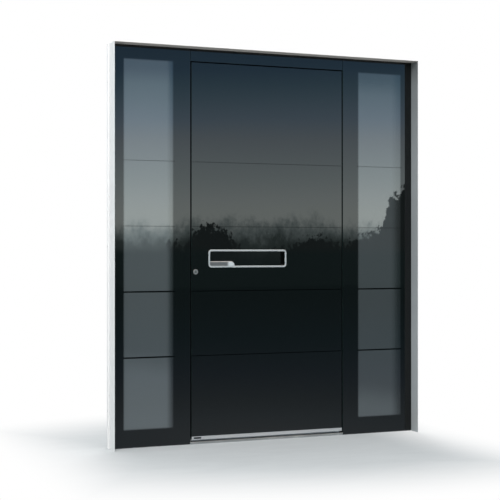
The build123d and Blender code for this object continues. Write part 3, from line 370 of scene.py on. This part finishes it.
class StageLook(bpy.types.PropertyGroup):
    floor: bpy.props.FloatVectorProperty(
        name="Floor", description="Colour of the studio floor",
        subtype="COLOR", size=3, default=(0.66, 0.685, 0.69))
    camera_place: bpy.props.FloatVectorProperty(
        name="Camera Place", description="Where the camera stands",
        subtype="TRANSLATION", unit="LENGTH", size=3, default=(-3.125, -7.2945, 1.2014))
    camera_turn: bpy.props.FloatProperty(
        name="Camera Turn", description="Turn of the camera about the vertical",
        subtype="ANGLE", unit="ROTATION", default=math.radians(-22.46))
    lens: bpy.props.FloatProperty(
        name="Lens", description="Focal length of the camera in millimetres", default=89.7)


# Glass

def enamelled_glass(look):
    """Black enamel behind glass, with grooves darkened by painted shade and a satin window in each
    sidelight that carries painted light and shade.
    """
    grooves, paint, border = 4, (0.0026, 0.0022), (0.0052, 0.0040)
    lower_grooves = (1.25, 1.20)
    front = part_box("leaf_glass")[0][1]
    lowest = look.groove_top - (grooves - 0.5) * look.groove_step
    highest = look.groove_top + 0.5 * look.groove_step
    f = new_finish("enamelled_glass")
    at, x, y, z = f.place()

    step = ((look.groove_top - z) / look.groove_step + 0.5).fraction()
    beside = (step - 0.5).size() * look.groove_step
    # Painted shade: beside the grooves below eye height the satin print gives way to black enamel, so that
    # these grooves read wider and darker.
    groove_margin_shade = beside.ramp(*border) * z.ramp(*lower_grooves) * z.above(lowest)
    # The faces inside the cut grooves get a near-black diffuse as painted shade, half as strong above eye
    # height.
    groove = (beside.ramp(*paint) * y.above(front + 0.0001)
              * (1.0 - 0.5 * z.above(lower_grooves[1]))
              * z.above(lowest) * (highest - z).above(0.0))

    half = look.fade / 2
    across = x.size()
    window = (across.ramp(look.window_near - half, look.window_near + half)
              * across.ramp(look.window_far + half, look.window_far - half)
              * z.ramp(look.window_low - half, look.window_low + half)
              * z.ramp(look.window_high + half, look.window_high - half)
              * (1.0 - groove_margin_shade))

    # Painted light and shade on the satin print: the right window painted darker, a painted shade along the
    # top, painted light from the floor near the bottom and a painted shadow along each window's right edge.
    right_window_shade = 0.28 * x.ramp(0.3, 0.6)
    top_shade = 0.35 * z.ramp(2.20, 2.33)
    floor_light = 0.5 * (z + 0.16 * x).ramp(0.47, 0.28)
    side_shade = x.ramp(0.875, 0.950).larger(x.ramp(-0.685, -0.640) * x.ramp(0.0, -0.1))
    painted_shading = (1.0 - right_window_shade - top_shade + floor_light) * (1.0 - 0.8 * side_shade)
    speckle = f.blend(f.noise(at, 1400.0, 1.0), shade(look.satin, 0.93), shade(look.satin, 1.07))
    satin = f.node("ShaderNodeVectorMath", {"operation": "SCALE"},
                   {0: speckle, "Scale": painted_shading}).outputs[0]
    enamel = f.blend(f.noise(at, 1.1), shade(look.enamel, 0.8), shade(look.enamel, 1.2))

    edge = f.rim()
    cut_edge = (0.010, 0.030, 0.026)
    shine = f.shader(Base_Color=f.blend(edge, f.blend(window, enamel, satin), cut_edge),
                     Roughness=0.003 + 0.006 * f.noise(at, 5.0) + 0.2 * edge, IOR=GLASS_INDEX,
                     Coat_Weight=window, Coat_Roughness=0.006, Coat_IOR=1.55,
                     Normal=f.bump(f.noise(at, 2.2, 0.0), 0.03, 0.01))
    # Painted shade: a near-black diffuse inside the grooves.
    return f.show(f.mixed(groove, shine, f.plain("BsdfDiffuse", (0.0006, 0.0006, 0.0007))))


def clear_glass():
    """Clear panes with green cut edges."""
    pane, cut_edge = (0.78, 0.86, 0.84), (0.16, 0.34, 0.30)
    f = new_finish("clear_glass")
    edge = f.rim()
    return f.show(f.shader(Base_Color=f.blend(edge, pane, cut_edge), IOR=GLASS_INDEX,
                           Roughness=0.01 + 0.02 * f.noise(f.here(), 40.0), Alpha=0.25 + 0.55 * edge))


class DOOR_OT_glass(bpy.types.Operator):
    """Finish the enamelled outer panes, their satin windows and the clear inner panes"""
    bl_idname = "door.glass"
    bl_label = "Glass"

    def execute(self, context):
        dress(enamelled_glass(context.scene.door_glass), "leaf_glass", "head_glass",
              "sidelight_outer_pane_left", "sidelight_outer_pane_right")
        dress(clear_glass(), "sidelight_middle_panes", "sidelight_inner_panes")
        return {"FINISHED"}


# Profiles, casing, bars and seals

def beyond_frame(x, z):
    """How far a point lies outside the frame's sides and top."""
    return (x.size() - HALF_WIDTH).larger(z - HEIGHT)


def powder_coat(look):
    """Fine-grained coat on the profiles, with primer where the wall covers them."""
    f = new_finish("powder_coat")
    at, x, _, z = f.place()
    grain = f.noise(at, 950.0, 3.0)
    coat = f.blend(f.noise(at, 3.0), tuple(look.coat), shade(look.coat, 1.3))
    hidden = beyond_frame(x, z).ramp(-0.0006, -0.0002)
    return f.show(f.shader(Base_Color=f.blend(hidden, coat, tuple(look.primer)),
                           Roughness=0.34 + 0.12 * grain, Normal=f.bump(grain, 0.25, 0.0004)))


def casing_coat(look):
    """Grey coat with painted shade that darkens it upwards and into the top corner, painted light from the
    floor low down, splashes near the floor, and painted light that makes the head casing above the frame's
    top lighter.
    """
    head_painted_light, splashes = (0.62, 0.58, 0.54), (0.52, 0.51, 0.48)
    f = new_finish("casing_coat")
    at, x, _, z = f.place()
    grain = f.noise(at, 700.0, 3.0)
    aged = f.noise(at, 1.6, 3.0)
    # Painted shade darkens the coat upwards and painted light from the floor brightens it low down.
    shaded_upper, middle, floor_lit_lower = (f.blend(aged, shade(look.casing, low), shade(look.casing, high))
                            for low, high in ((0.66, 0.74), (0.98, 1.06), (1.18, 1.26)))
    colour = f.blend(z.ramp(1.7, 2.35), f.blend(z.ramp(1.3, 0.5), middle, floor_lit_lower), shaded_upper)
    # Painted shade in the top corner under the head casing.
    colour = f.blend(z.ramp(2.28, 2.43), colour, shade(look.casing, 0.4))
    # Painted light: the head casing above the frame's top is painted lighter.
    colour = f.blend(z.ramp(HEIGHT - 0.0015, HEIGHT - 0.0002), colour, head_painted_light)
    colour = f.blend(z.ramp(0.25, 0.02) * 0.6 * f.noise(at, 9.0, 5.0), colour, splashes)
    hidden = beyond_frame(x, z).ramp(0.0008, 0.0012)
    return f.show(f.shader(Base_Color=f.blend(hidden, colour, tuple(look.primer)),
                           Roughness=0.42 + 0.12 * grain, Normal=f.bump(grain, 0.2, 0.0004)))


def anodised_aluminium():
    """Drawn aluminium, brighter where it is trodden."""
    anodised, trodden = (0.30, 0.30, 0.29), (0.42, 0.41, 0.39)
    f = new_finish("anodised_aluminium")
    at = f.here()
    lines = f.noise(f.stretched(at, (3.0, 900.0, 900.0)), 1.0, 3.0, 0.6)
    worn = f.noise(at, 7.0, 5.0, 0.65).ramp(0.5, 0.75)
    return f.show(f.shader(Base_Color=f.blend(worn, anodised, trodden), Metallic=0.9,
                           Roughness=0.34 + 0.2 * lines, Normal=f.bump(lines, 0.12, 0.0002)))


def mill_aluminium():
    """Bare aluminium with a row of drying holes on the faces between two panes, each a dark spot of painted
    shade.
    """
    bare, hole_shade, holes_per_metre = (0.62, 0.63, 0.64), (0.05, 0.05, 0.05), 180.0
    f = new_finish("mill_aluminium")
    at, x, _, z = f.place()
    # Painted shade: each drying hole is a dark spot, not a real opening.
    hole = (((x + z) * holes_per_metre).fraction() - 0.5).size().ramp(0.14, 0.08)
    return f.show(f.shader(Base_Color=f.blend(hole * f.rim(0.7, 0.3), bare, hole_shade),
                           Metallic=0.9, Roughness=0.38 + 0.1 * f.noise(at, 200.0)))


def seal_rubber():
    """Matt black rubber with a fine skin."""
    f = new_finish("seal_rubber")
    at = f.here()
    skin = f.noise(at, 240.0, 3.0)
    rubber = f.blend(f.noise(at, 30.0), (0.011, 0.011, 0.012), (0.022, 0.022, 0.023))
    return f.show(f.shader(Base_Color=rubber, Roughness=0.62 + 0.2 * skin,
                           Normal=f.bump(skin, 0.2, 0.0003)))


def glass_filled_nylon():
    """Black plastic with pale glass fibres."""
    f = new_finish("glass_filled_nylon")
    fibres = f.noise(f.stretched(f.here(), (300.0, 900.0, 60.0)), 1.0, 3.0, 0.7)
    nylon = f.blend(fibres.ramp(0.45, 0.7), (0.014, 0.014, 0.014), (0.05, 0.05, 0.048))
    return f.show(f.shader(Base_Color=nylon, Roughness=0.5 + 0.2 * fibres))


def moulded_block():
    """Blue-grey plastic of the blocks that the panes stand on."""
    f = new_finish("moulded_block")
    plastic = f.blend(f.noise(f.here(), 120.0), (0.05, 0.09, 0.14), (0.07, 0.12, 0.18))
    return f.show(f.shader(Base_Color=plastic, Roughness=0.45))


def foam():
    """Yellowish foam with open pores."""
    f = new_finish("foam")
    pores = f.cells(f.here(), 420.0)
    return f.show(f.shader(Base_Color=f.blend(pores, (0.80, 0.77, 0.66), (0.62, 0.59, 0.50)),
                           Roughness=0.92, Normal=f.bump(pores, 0.5, 0.0008)))


class DOOR_OT_metal(bpy.types.Operator):
    """Finish the coated profiles, skins, casing, bars and seals"""
    bl_idname = "door.metal"
    bl_label = "Profiles, Casing and Seals"

    def execute(self, context):
        look = context.scene.door_metal
        dress(powder_coat(look), "jamb_left", "jamb_right", "mullion_left", "mullion_right",
              "head_rail", "sill_rail_left", "sill_rail_right", "glazing_beads",
              "leaf_inner_skin", "leaf_outer_skin", "lock_stile", "hinge_stile", "top_rail",
              "bottom_rail", "hinge_frame_halves", "hinge_leaf_halves")
        dress(casing_coat(look), "casing_left", "casing_right", "casing_head")
        dress(anodised_aluminium(), "threshold")
        dress(mill_aluminium(), "spacer_frames")
        dress(seal_rubber(), "frame_gasket", "leaf_gasket", "glazing_gaskets")
        dress(glass_filled_nylon(), "frame_thermal_bars", "leaf_thermal_bars")
        dress(moulded_block(), "setting_blocks")
        dress(foam(), "leaf_core")
        return {"FINISHED"}


# Handle, lock and hinges

def brushed(name, colour, scale, low=0.24, high=0.40, shine=1.0):
    """Brushed metal whose fine lines run along the axis with the smallest scale."""
    f = new_finish(name)
    at = f.here()
    lines = f.noise(f.stretched(at, scale), 1.0, 3.0, 0.6)
    smears = f.noise(at, 14.0, 4.0, 0.6)
    return f.show(f.shader(Base_Color=f.blend(lines, shade(colour, 0.88), shade(colour, 1.1)),
                           Metallic=shine, Roughness=low + (high - low) * (0.6 * lines + 0.4 * smears),
                           Normal=f.bump(lines, 0.10, 0.0002)))


def zinc_plated(look):
    """Plated steel with a faint spangle."""
    f = new_finish("zinc_plated")
    at = f.here()
    plate = f.blend(f.cells(at, 130.0), shade(look.zinc, 0.85), shade(look.zinc, 1.15))
    return f.show(f.shader(Base_Color=plate, Metallic=1.0, Roughness=0.32 + 0.2 * f.noise(at, 60.0)))


def steel_grip(look):
    """Brushed steel of the grip tab, with a painted highlight along its top edge and towards its right end
    and its face painted dark as a painted reflection.
    """
    right, _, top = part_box("handle_grip")[1]
    f = new_finish("steel_grip")
    at, x, _, z = f.place()
    lines = f.noise(f.stretched(at, (5.0, 500.0, 1500.0)), 1.0, 3.0, 0.6)
    # Painted highlight on the top edge and the right end; the rest of the face is painted dark as a painted
    # reflection.
    bright = z.ramp(top - 0.0055, top - 0.003).larger(x.ramp(right - 0.056, right - 0.034))
    colour = f.blend(bright, shade(look.steel, 0.26), shade(look.steel, 1.45))
    colour = f.blend(0.3 * lines, colour, shade(look.steel, 0.5))
    return f.show(f.shader(Base_Color=colour, Metallic=1.0, Roughness=0.26 + 0.16 * lines,
                           Normal=f.bump(lines, 0.1, 0.0002)))


def cup_black():
    """Smooth black of the recessed cup."""
    f = new_finish("cup_black")
    at = f.here()
    black = f.blend(f.noise(at, 1100.0), (0.0016, 0.002, 0.002), (0.003, 0.0034, 0.0034))
    return f.show(f.shader(Base_Color=black, Roughness=0.04 + 0.03 * f.noise(at, 30.0),
                           IOR=GLASS_INDEX))


class DOOR_OT_fittings(bpy.types.Operator):
    """Finish the handle, kick strip, lock and hinges"""
    bl_idname = "door.fittings"
    bl_label = "Handle, Lock and Hinges"

    def execute(self, context):
        look = context.scene.door_fittings
        along, upright = (6.0, 600.0, 2200.0), (900.0, 2000.0, 5.0)
        turned, even = (700.0, 60.0, 700.0), (300.0, 300.0, 300.0)
        fine_along, dark = (30.0, 900.0, 1500.0), (0.035, 0.036, 0.038)
        dress(brushed("steel_brushed_along", look.steel, along),
              "kick_strip", "handle_rim", "lever_handle", "inside_roses", "thumb_turn")
        # Painted shade: the rosette's steel is painted darker than the other stainless pieces.
        dress(brushed("steel_rosette_shaded", shade(look.steel, 0.42), even), "cylinder_rosette")
        dress(brushed("steel_brushed_upright", look.steel, upright),
              "lock_faceplate", "strike_plates", "hinge_pins")
        dress(brushed("steel_turned", look.steel, turned, low=0.16, high=0.30),
              "latch_bolt", "dead_bolt", "upper_bolt", "lower_bolt", "lever_spindle")
        # Painted shade: the cylinder, its cam and its key plug are painted darker in the lock's centre.
        dress(brushed("nickel_satin_shaded", shade(look.nickel, 0.6), even, low=0.22, high=0.34),
              "cylinder_body", "lock_cam")
        dress(brushed("nickel_plug_shaded", shade(look.nickel, 0.3), even, low=0.3, high=0.42), "key_plug")
        dress(brushed("anodised_dark", dark, fine_along, low=0.32, high=0.45, shine=0.6),
              "strip_plate")
        dress(zinc_plated(look), "lock_case", "aux_lock_cases")
        dress(steel_grip(look), "handle_grip")
        dress(cup_black(), "handle_cup")
        return {"FINISHED"}


# Screws

def screw_blank(look):
    """One countersunk screw with a star-shaped socket, its head's face at the origin and facing up."""
    around, lobes, wave = 48, 6, 0.16
    head, length, hole = look.screw_radius, look.screw_length, look.socket_radius
    shaped = bmesh.new()

    def circle(depth, radius, wave=0.0):
        return [shaped.verts.new((radius * (1 + wave * math.cos(lobes * turn)) * math.cos(turn),
                                  radius * (1 + wave * math.cos(lobes * turn)) * math.sin(turn), -depth))
                for turn in (2 * math.pi * n / around for n in range(around))]

    # Depth and radius, first up the socket, then over the face, down the cone and along the shank
    socket = ((0.45 * length, 0.72 * hole), (0.42 * length, 0.9 * hole), (0.0, hole))
    outside = ((0.0, 0.55 * head), (0.0, 0.94 * head), (0.03 * head, head), (0.48 * head, 0.52 * head),
               (0.5 * head, 0.46 * head), (length, 0.46 * head))
    join_loops(shaped, [circle(depth, radius, wave) for depth, radius in socket]
               + [circle(depth, radius) for depth, radius in outside])
    return add_shape("screw_blank", shaped)


def screw_boxes(name):
    """Low and high corner of each screw of a CAD node, from the loose shells of its mesh in order."""
    joined = bmesh.new()
    joined.from_mesh(NODES[name].data)
    bmesh.ops.remove_doubles(joined, verts=joined.verts, dist=1e-6)
    left, boxes = set(joined.verts), []
    for start in joined.verts:
        if start not in left:
            continue
        left.remove(start)
        shell, queue = [start], [start]
        while queue:
            for edge in queue.pop().link_edges:
                for vert in edge.verts:
                    if vert in left:
                        left.remove(vert)
                        shell.append(vert)
                        queue.append(vert)
        boxes.append([Vector(pick(vert.co[axis] for vert in shell) for axis in range(3))
                      for pick in (min, max)])
    joined.free()
    return boxes


def screw_carrier(name, node):
    """A point on the face of each screw's head that knows its aim, indoors or across the door."""
    places, aims = [], []
    for low, high in screw_boxes(node):
        middle = (low + high) / 2
        if node == "casing_screws":
            side = math.copysign(1.0, middle.x)
            places.append((side * min(abs(low.x), abs(high.x)), middle.y, middle.z))
            aims.append((-side, 0.0, 0.0))
        else:
            places.append((middle.x, high.y, middle.z))
            aims.append((0.0, 1.0, 0.0))
    mesh = bpy.data.meshes.new(name)
    mesh.from_pydata(places, [], [])
    mesh.attributes.new("aim", "FLOAT_VECTOR", "POINT").data.foreach_set(
        "vector", [part for aim in aims for part in aim])
    return add_object(name, mesh)


def screw_pattern():
    """Sets a screw on each point, aimed as the point says and turned at random about its own axis."""
    pattern = Pattern("screws", Screw="Object", Seed="Int")
    aim = pattern.node("GeometryNodeInputNamedAttribute", {"data_type": "FLOAT_VECTOR"},
                       {"Name": "aim"}).outputs["Attribute"]
    aimed = pattern.node("FunctionNodeAlignRotationToVector", {"axis": "Z"}, {"Vector": aim}).outputs[0]
    shape = pattern.node("GeometryNodeObjectInfo", {}, {"Object": pattern.given["Screw"]})
    copies = pattern.node("GeometryNodeInstanceOnPoints", {}, {
        "Points": pattern.given["Geometry"], "Instance": shape.outputs["Geometry"],
        "Rotation": aimed}).outputs[0]
    turn = pattern.node("FunctionNodeRandomValue", {"data_type": "FLOAT"}, {
        2: 0.0, 3: 2 * math.pi, "Seed": pattern.given["Seed"]}).outputs[1]
    turn = pattern.node("ShaderNodeCombineXYZ", {}, {2: turn}).outputs[0]
    turn = pattern.node("FunctionNodeEulerToRotation", {}, {0: turn}).outputs[0]
    pattern.close(pattern.node("GeometryNodeRotateInstances", {}, {
        "Instances": copies, "Rotation": turn}).outputs[0])
    return pattern


class DOOR_OT_screws(bpy.types.Operator):
    """Set a detailed screw at each place where the model holds one"""
    bl_idname = "door.screws"
    bl_label = "Screws"

    def execute(self, context):
        look = context.scene.door_fittings
        even = (500.0, 500.0, 500.0)
        # Painted light: the screws' steel is painted brighter than the other stainless pieces.
        steel = brushed("screw_steel_lit", shade(look.steel, 1.2), even, low=0.42, high=0.6)
        blank = screw_blank(look)
        pattern = screw_pattern()
        for node, body, name in (("frame_screws", "frame", "hinge_screws_frame"),
                                 ("leaf_screws", "leaf", "hinge_screws_leaf"),
                                 ("casing_screws", "frame", "casing_screw_heads")):
            carrier = screw_carrier(name, node)
            faces = len(blank.data.polygons) * len(carrier.data.vertices)
            piece = pattern.grow(carrier, Screw=blank, Seed=look.seed, Finish=steel)
            if len(piece.data.polygons) < faces:
                raise RuntimeError(f"{name} lacks screws")
            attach(piece, body)
            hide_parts(node)
        bpy.data.objects.remove(blank)
        return {"FINISHED"}


# Brush seal

def bristle_nylon():
    """Black hairs in slightly different tones."""
    f = new_finish("bristle_nylon")
    hairs = f.noise(f.stretched(f.here(), (900.0, 900.0, 20.0)), 1.0)
    return f.show(f.shader(Base_Color=f.blend(hairs, (0.012, 0.012, 0.013), (0.045, 0.044, 0.042)),
                           Roughness=0.55))


def carrier_aluminium():
    """Drawn aluminium of the strip that holds the bristles."""
    f = new_finish("carrier_aluminium")
    drawn = f.noise(f.stretched(f.here(), (3.0, 1200.0, 1200.0)), 1.0, 3.0)
    return f.show(f.shader(Base_Color=f.blend(drawn, (0.36, 0.36, 0.36), (0.50, 0.50, 0.49)),
                           Metallic=0.9, Roughness=0.32 + 0.15 * drawn))


def bristle_pattern():
    """Rows of thin cones that hang from a bed of points, each leaning a little its own way."""
    sides, tip, foot = 5, 0.00012, 0.00055
    lean_across, lean_along = 0.05, 0.06
    pattern = Pattern("bristles", Length="Float", Depth="Float", Bristle="Float", Along="Int",
                      Rows="Int", Place="Vector", Seed="Int")
    bed = pattern.node("GeometryNodeMeshGrid", {}, {
        "Size X": pattern.given["Length"], "Size Y": pattern.given["Depth"],
        "Vertices X": pattern.given["Along"], "Vertices Y": pattern.given["Rows"]}).outputs[0]
    bed = pattern.node("GeometryNodeTransform", {}, {
        "Geometry": bed, "Translation": pattern.given["Place"]}).outputs[0]
    hair = pattern.node("GeometryNodeMeshCone", {}, {
        "Vertices": sides, "Radius Top": tip, "Radius Bottom": foot,
        "Depth": pattern.given["Bristle"]}).outputs[0]
    tilt = pattern.node("FunctionNodeRandomValue", {"data_type": "FLOAT_VECTOR"}, {
        0: (math.pi - lean_across, -lean_along, 0.0),
        1: (math.pi + lean_across, lean_along, math.pi),
        "Seed": pattern.given["Seed"]}).outputs[0]
    tilt = pattern.node("FunctionNodeEulerToRotation", {}, {0: tilt}).outputs[0]
    pattern.close(pattern.node("GeometryNodeInstanceOnPoints", {}, {
        "Points": bed, "Instance": hair, "Rotation": tilt}).outputs[0])
    return pattern


def add_bristles(look, low, high):
    """The bristles in a box, with their feet in the carrier and their tips at the bottom."""
    rows, end_gap, tip_gap = 4, 0.002, 0.0001
    wide, deep = high.x - low.x, high.y - low.y
    middle, along = (low + high) / 2, int(wide / look.bristle_step)
    bristles = bristle_pattern().grow(
        add_object("brush_bristles", bpy.data.meshes.new("brush_bristles")),
        Length=wide - 2 * end_gap, Depth=0.5 * deep, Bristle=look.bristle_length - tip_gap,
        Along=along, Rows=rows, Seed=look.seed,
        Place=(middle.x, middle.y, low.z + look.bristle_length), Finish=bristle_nylon())
    if len(bristles.data.polygons) < rows * along:
        raise RuntimeError("the brush lacks bristles")
    return bristles


def add_carrier(look, low, high):
    """A strip along the leaf with two lips that clasp the feet of the bristles."""
    wall, lip_length = 0.0012, 0.0016
    near, far, top = low.y, high.y, high.z
    root = low.z + look.bristle_length
    lip = root - lip_length
    outline = ((near, lip), (near + wall, lip), (near + wall, root + wall),
               (far - wall, root + wall), (far - wall, lip), (far, lip), (far, top - wall / 2),
               (far - wall / 2, top), (near + wall / 2, top), (near, top - wall / 2))
    shaped = bmesh.new()
    join_loops(shaped, [[shaped.verts.new((x, y, z)) for y, z in outline] for x in (low.x, high.x)])
    carrier = add_shape("brush_carrier", shaped)
    carrier.data.materials.append(carrier_aluminium())
    return carrier


class DOOR_OT_brush(bpy.types.Operator):
    """Hang a brush seal under the leaf, a carrier strip with rows of bristles"""
    bl_idname = "door.brush"
    bl_label = "Brush Seal"

    def execute(self, context):
        look = context.scene.door_fittings
        low, high = (Vector(corner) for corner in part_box("bottom_seal"))
        for piece, slot in ((add_bristles(look, low, high), "rubber"),
                            (add_carrier(look, low, high), "leaf_aluminium")):
            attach(piece, "leaf")
            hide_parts("bottom_seal")
        return {"FINISHED"}


# Stage

def studio_floor(look):
    """Paving that turns white away from the door. Mirrors see a dim floor that brightens near it."""
    f = new_finish("studio_floor")
    at, x, y, _ = f.place()
    path = f.node("ShaderNodeLightPath").outputs
    veins = f.noise(f.stretched(at, (1.0, 2.4, 1.0)), 1.4, detail=6.0, roughness=0.6, distortion=1.4)
    paving = f.blend(veins, tuple(look.floor), shade(look.floor, 1.16))
    away = ((x - 0.2) * (x - 0.2) * 0.45 + (y + 0.2) * (y + 0.2)).root()
    beyond = away.ramp(0.75, 1.9).larger(x.ramp(0.6, 1.35)).larger(x.ramp(-0.9, -1.7))
    shown = f.mixed(beyond * Sum(f, path["Is Camera Ray"]), f.plain("BsdfDiffuse", paving),
                    f.plain("Emission", (1.0, 1.0, 1.0)))
    near = 2.0 / (2.0 + (x * x + y * y).root())
    mirrored = f.tones(near, (0.0, (0.06, 0.12, 0.12)), (0.08, (0.08, 0.13, 0.14)),
                       (0.175, (0.10, 0.17, 0.20)), (0.32, (0.18, 0.24, 0.30)),
                       (0.49, (0.29, 0.35, 0.39)), (0.64, (0.38, 0.45, 0.50)),
                       (1.0, (0.56, 0.60, 0.64)))
    return f.show(f.mixed(path["Is Glossy Ray"], shown, f.plain("Emission", mirrored)))


def add_floor(look):
    half = 30.0
    mesh = bpy.data.meshes.new("floor")
    mesh.from_pydata([(-half, -half, 0), (half, -half, 0), (half, half, 0), (-half, half, 0)], [],
                     [(0, 1, 2, 3)])
    mesh.materials.append(studio_floor(look))
    add_object("floor", mesh)


def mirrored_view(f):
    """What the glass mirrors: near trees over the ground, a misty forest behind and a bright sky."""
    haze, forest = (1.05, 1.28, 1.27), (0.32, 0.42, 0.41)
    trees, ground = (0.14, 0.18, 0.18), (0.10, 0.165, 0.17)
    skyline = ((0.1, 0.19), (0.26, 0.17), (0.285, 0.31), (0.33, 0.29), (0.35, 0.40), (0.38, 0.47),
               (0.45, 0.48), (0.49, 0.29), (0.56, 0.19), (0.66, 0.32), (0.74, 0.40), (0.79, 0.32),
               (0.85, 0.37), (0.905, 0.45), (0.913, 0.52), (0.927, 0.78), (0.957, 0.80), (0.967, 0.89))
    left, right, sky_top = 0.25, 0.5, 0.4
    aim = f.node("ShaderNodeTexCoord").outputs["Generated"]
    side, _, rise = f.parts(aim)
    sky = f.tones(rise / sky_top,
                  (0.0, (2.7, 2.95, 2.85)), (0.075, (2.63, 2.91, 2.8)), (0.1, (2.46, 2.75, 2.72)),
                  (0.14, (2.05, 2.38, 2.42)), (0.22, (1.42, 1.69, 1.88)), (0.26, (0.98, 1.34, 1.70)),
                  (0.3, (0.68, 1.06, 1.38)), (0.33, (0.48, 0.84, 1.14)), (0.36, (0.33, 0.62, 0.95)),
                  (0.43, (0.28, 0.52, 0.78)), (0.6, (1.0, 1.02, 1.06)), (1.0, (1.5, 1.5, 1.5)))
    squashed = f.stretched(aim, (1.0, 1.0, 0.7))
    leaves = f.noise(squashed, 380.0, 3.0, 0.7) - 0.5
    clumps = f.noise(squashed, 48.0, 3.0, 0.6) - 0.5
    crowns = Sum(f, f.tones((side - left) / (right - left),
                            *((at, (high, high, high)) for at, high in skyline)))
    near = crowns * 0.08 - 0.02 + clumps * 0.02 + leaves * 0.035
    mist = rise + clumps * 0.03 + leaves * 0.015
    seen = f.blend(mist.ramp(0.027, 0.012), sky, haze)
    seen = f.blend(mist.ramp(0.015, 0.003), seen, forest)
    seen = f.blend((near - rise).ramp(-0.0008, 0.0012), seen, trees)
    return f.blend(rise.ramp(0.004, -0.004), seen, ground)


def studio_world():
    """White to the camera, a tree line and sky to mirrors, and soft light to all else."""
    world = bpy.data.worlds.new("studio")
    f = Finish(world)
    path = f.node("ShaderNodeLightPath").outputs
    white = f.plain("Background", (1.0, 1.0, 1.0))
    soft = f.plain("Background", (0.94, 0.97, 1.0), Strength=0.55)
    mirrored = f.plain("Background", mirrored_view(f))
    direct = Sum(f, path["Is Camera Ray"]).larger(path["Is Transmission Ray"])
    return f.show(f.mixed(direct, f.mixed(path["Is Glossy Ray"], soft, mirrored), white))


def add_lamp(name, place, target, width, power):
    """A round soft lamp that is seen neither directly nor in mirrors."""
    lamp = bpy.data.lights.new(name, "AREA")
    lamp.shape = "DISK"
    lamp.size = width
    lamp.energy = power
    holder = add_object(name, lamp)
    holder.location = place
    holder.rotation_euler = (Vector(target) - Vector(place)).to_track_quat("-Z", "Y").to_euler()
    holder.visible_glossy = False
    holder.visible_camera = False


def add_camera(look):
    """A level camera, so that uprights stay upright."""
    view = bpy.data.cameras.new("camera")
    view.lens = look.lens
    view.sensor_width = 36.0
    view.clip_start, view.clip_end = 0.05, 200.0
    holder = add_object("camera", view)
    holder.location = look.camera_place
    holder.rotation_euler = (math.radians(90.0), 0.0, look.camera_turn)
    return holder


class DOOR_OT_stage(bpy.types.Operator):
    """Lay the floor, light the studio and place the camera"""
    bl_idname = "door.stage"
    bl_label = "Stage"

    def execute(self, context):
        scene, look = context.scene, context.scene.door_stage
        scene.view_settings.view_transform = "Standard"
        add_floor(look)
        scene.world = studio_world()
        add_lamp("lamp_front", place=(-3.4, -4.2, 4.4), target=(0, 0, 1.1), width=3.0, power=190.0)
        add_lamp("lamp_side", place=(4.2, -3.5, 3.6), target=(0, 0, 1.2), width=2.5, power=60.0)
        add_lamp("lamp_inside", place=(1.5, 5.0, 4.0), target=(0, 0, 1.2), width=3.0, power=140.0)
        scene.camera = add_camera(look)
        return {"FINISHED"}


# Panel and run

class DOOR_PT_panel(bpy.types.Panel):
    """Steps that dress the door"""
    bl_idname = "DOOR_PT_panel"
    bl_label = "Entrance Door"
    bl_space_type = "VIEW_3D"
    bl_region_type = "UI"
    bl_category = "Entrance Door"

    def draw(self, context):
        for step in STEPS:
            self.layout.operator(step.bl_idname)


LOOKS = {"door_glass": GlassLook, "door_metal": MetalLook, "door_fittings": FittingLook,
         "door_stage": StageLook}
STEPS = (DOOR_OT_glass, DOOR_OT_metal, DOOR_OT_fittings, DOOR_OT_screws, DOOR_OT_brush, DOOR_OT_stage)


def register():
    for kind in (*LOOKS.values(), *STEPS, DOOR_PT_panel):
        bpy.utils.register_class(kind)
    for name, kind in LOOKS.items():
        setattr(bpy.types.Scene, name, bpy.props.PointerProperty(type=kind))


def unregister():
    for name in LOOKS:
        delattr(bpy.types.Scene, name)
    for kind in reversed((*LOOKS.values(), *STEPS, DOOR_PT_panel)):
        bpy.utils.unregister_class(kind)


def main():
    register()
    for step in STEPS:
        getattr(bpy.ops.door, step.bl_idname.split(".")[1])()


if __name__ == "__main__":
    main()
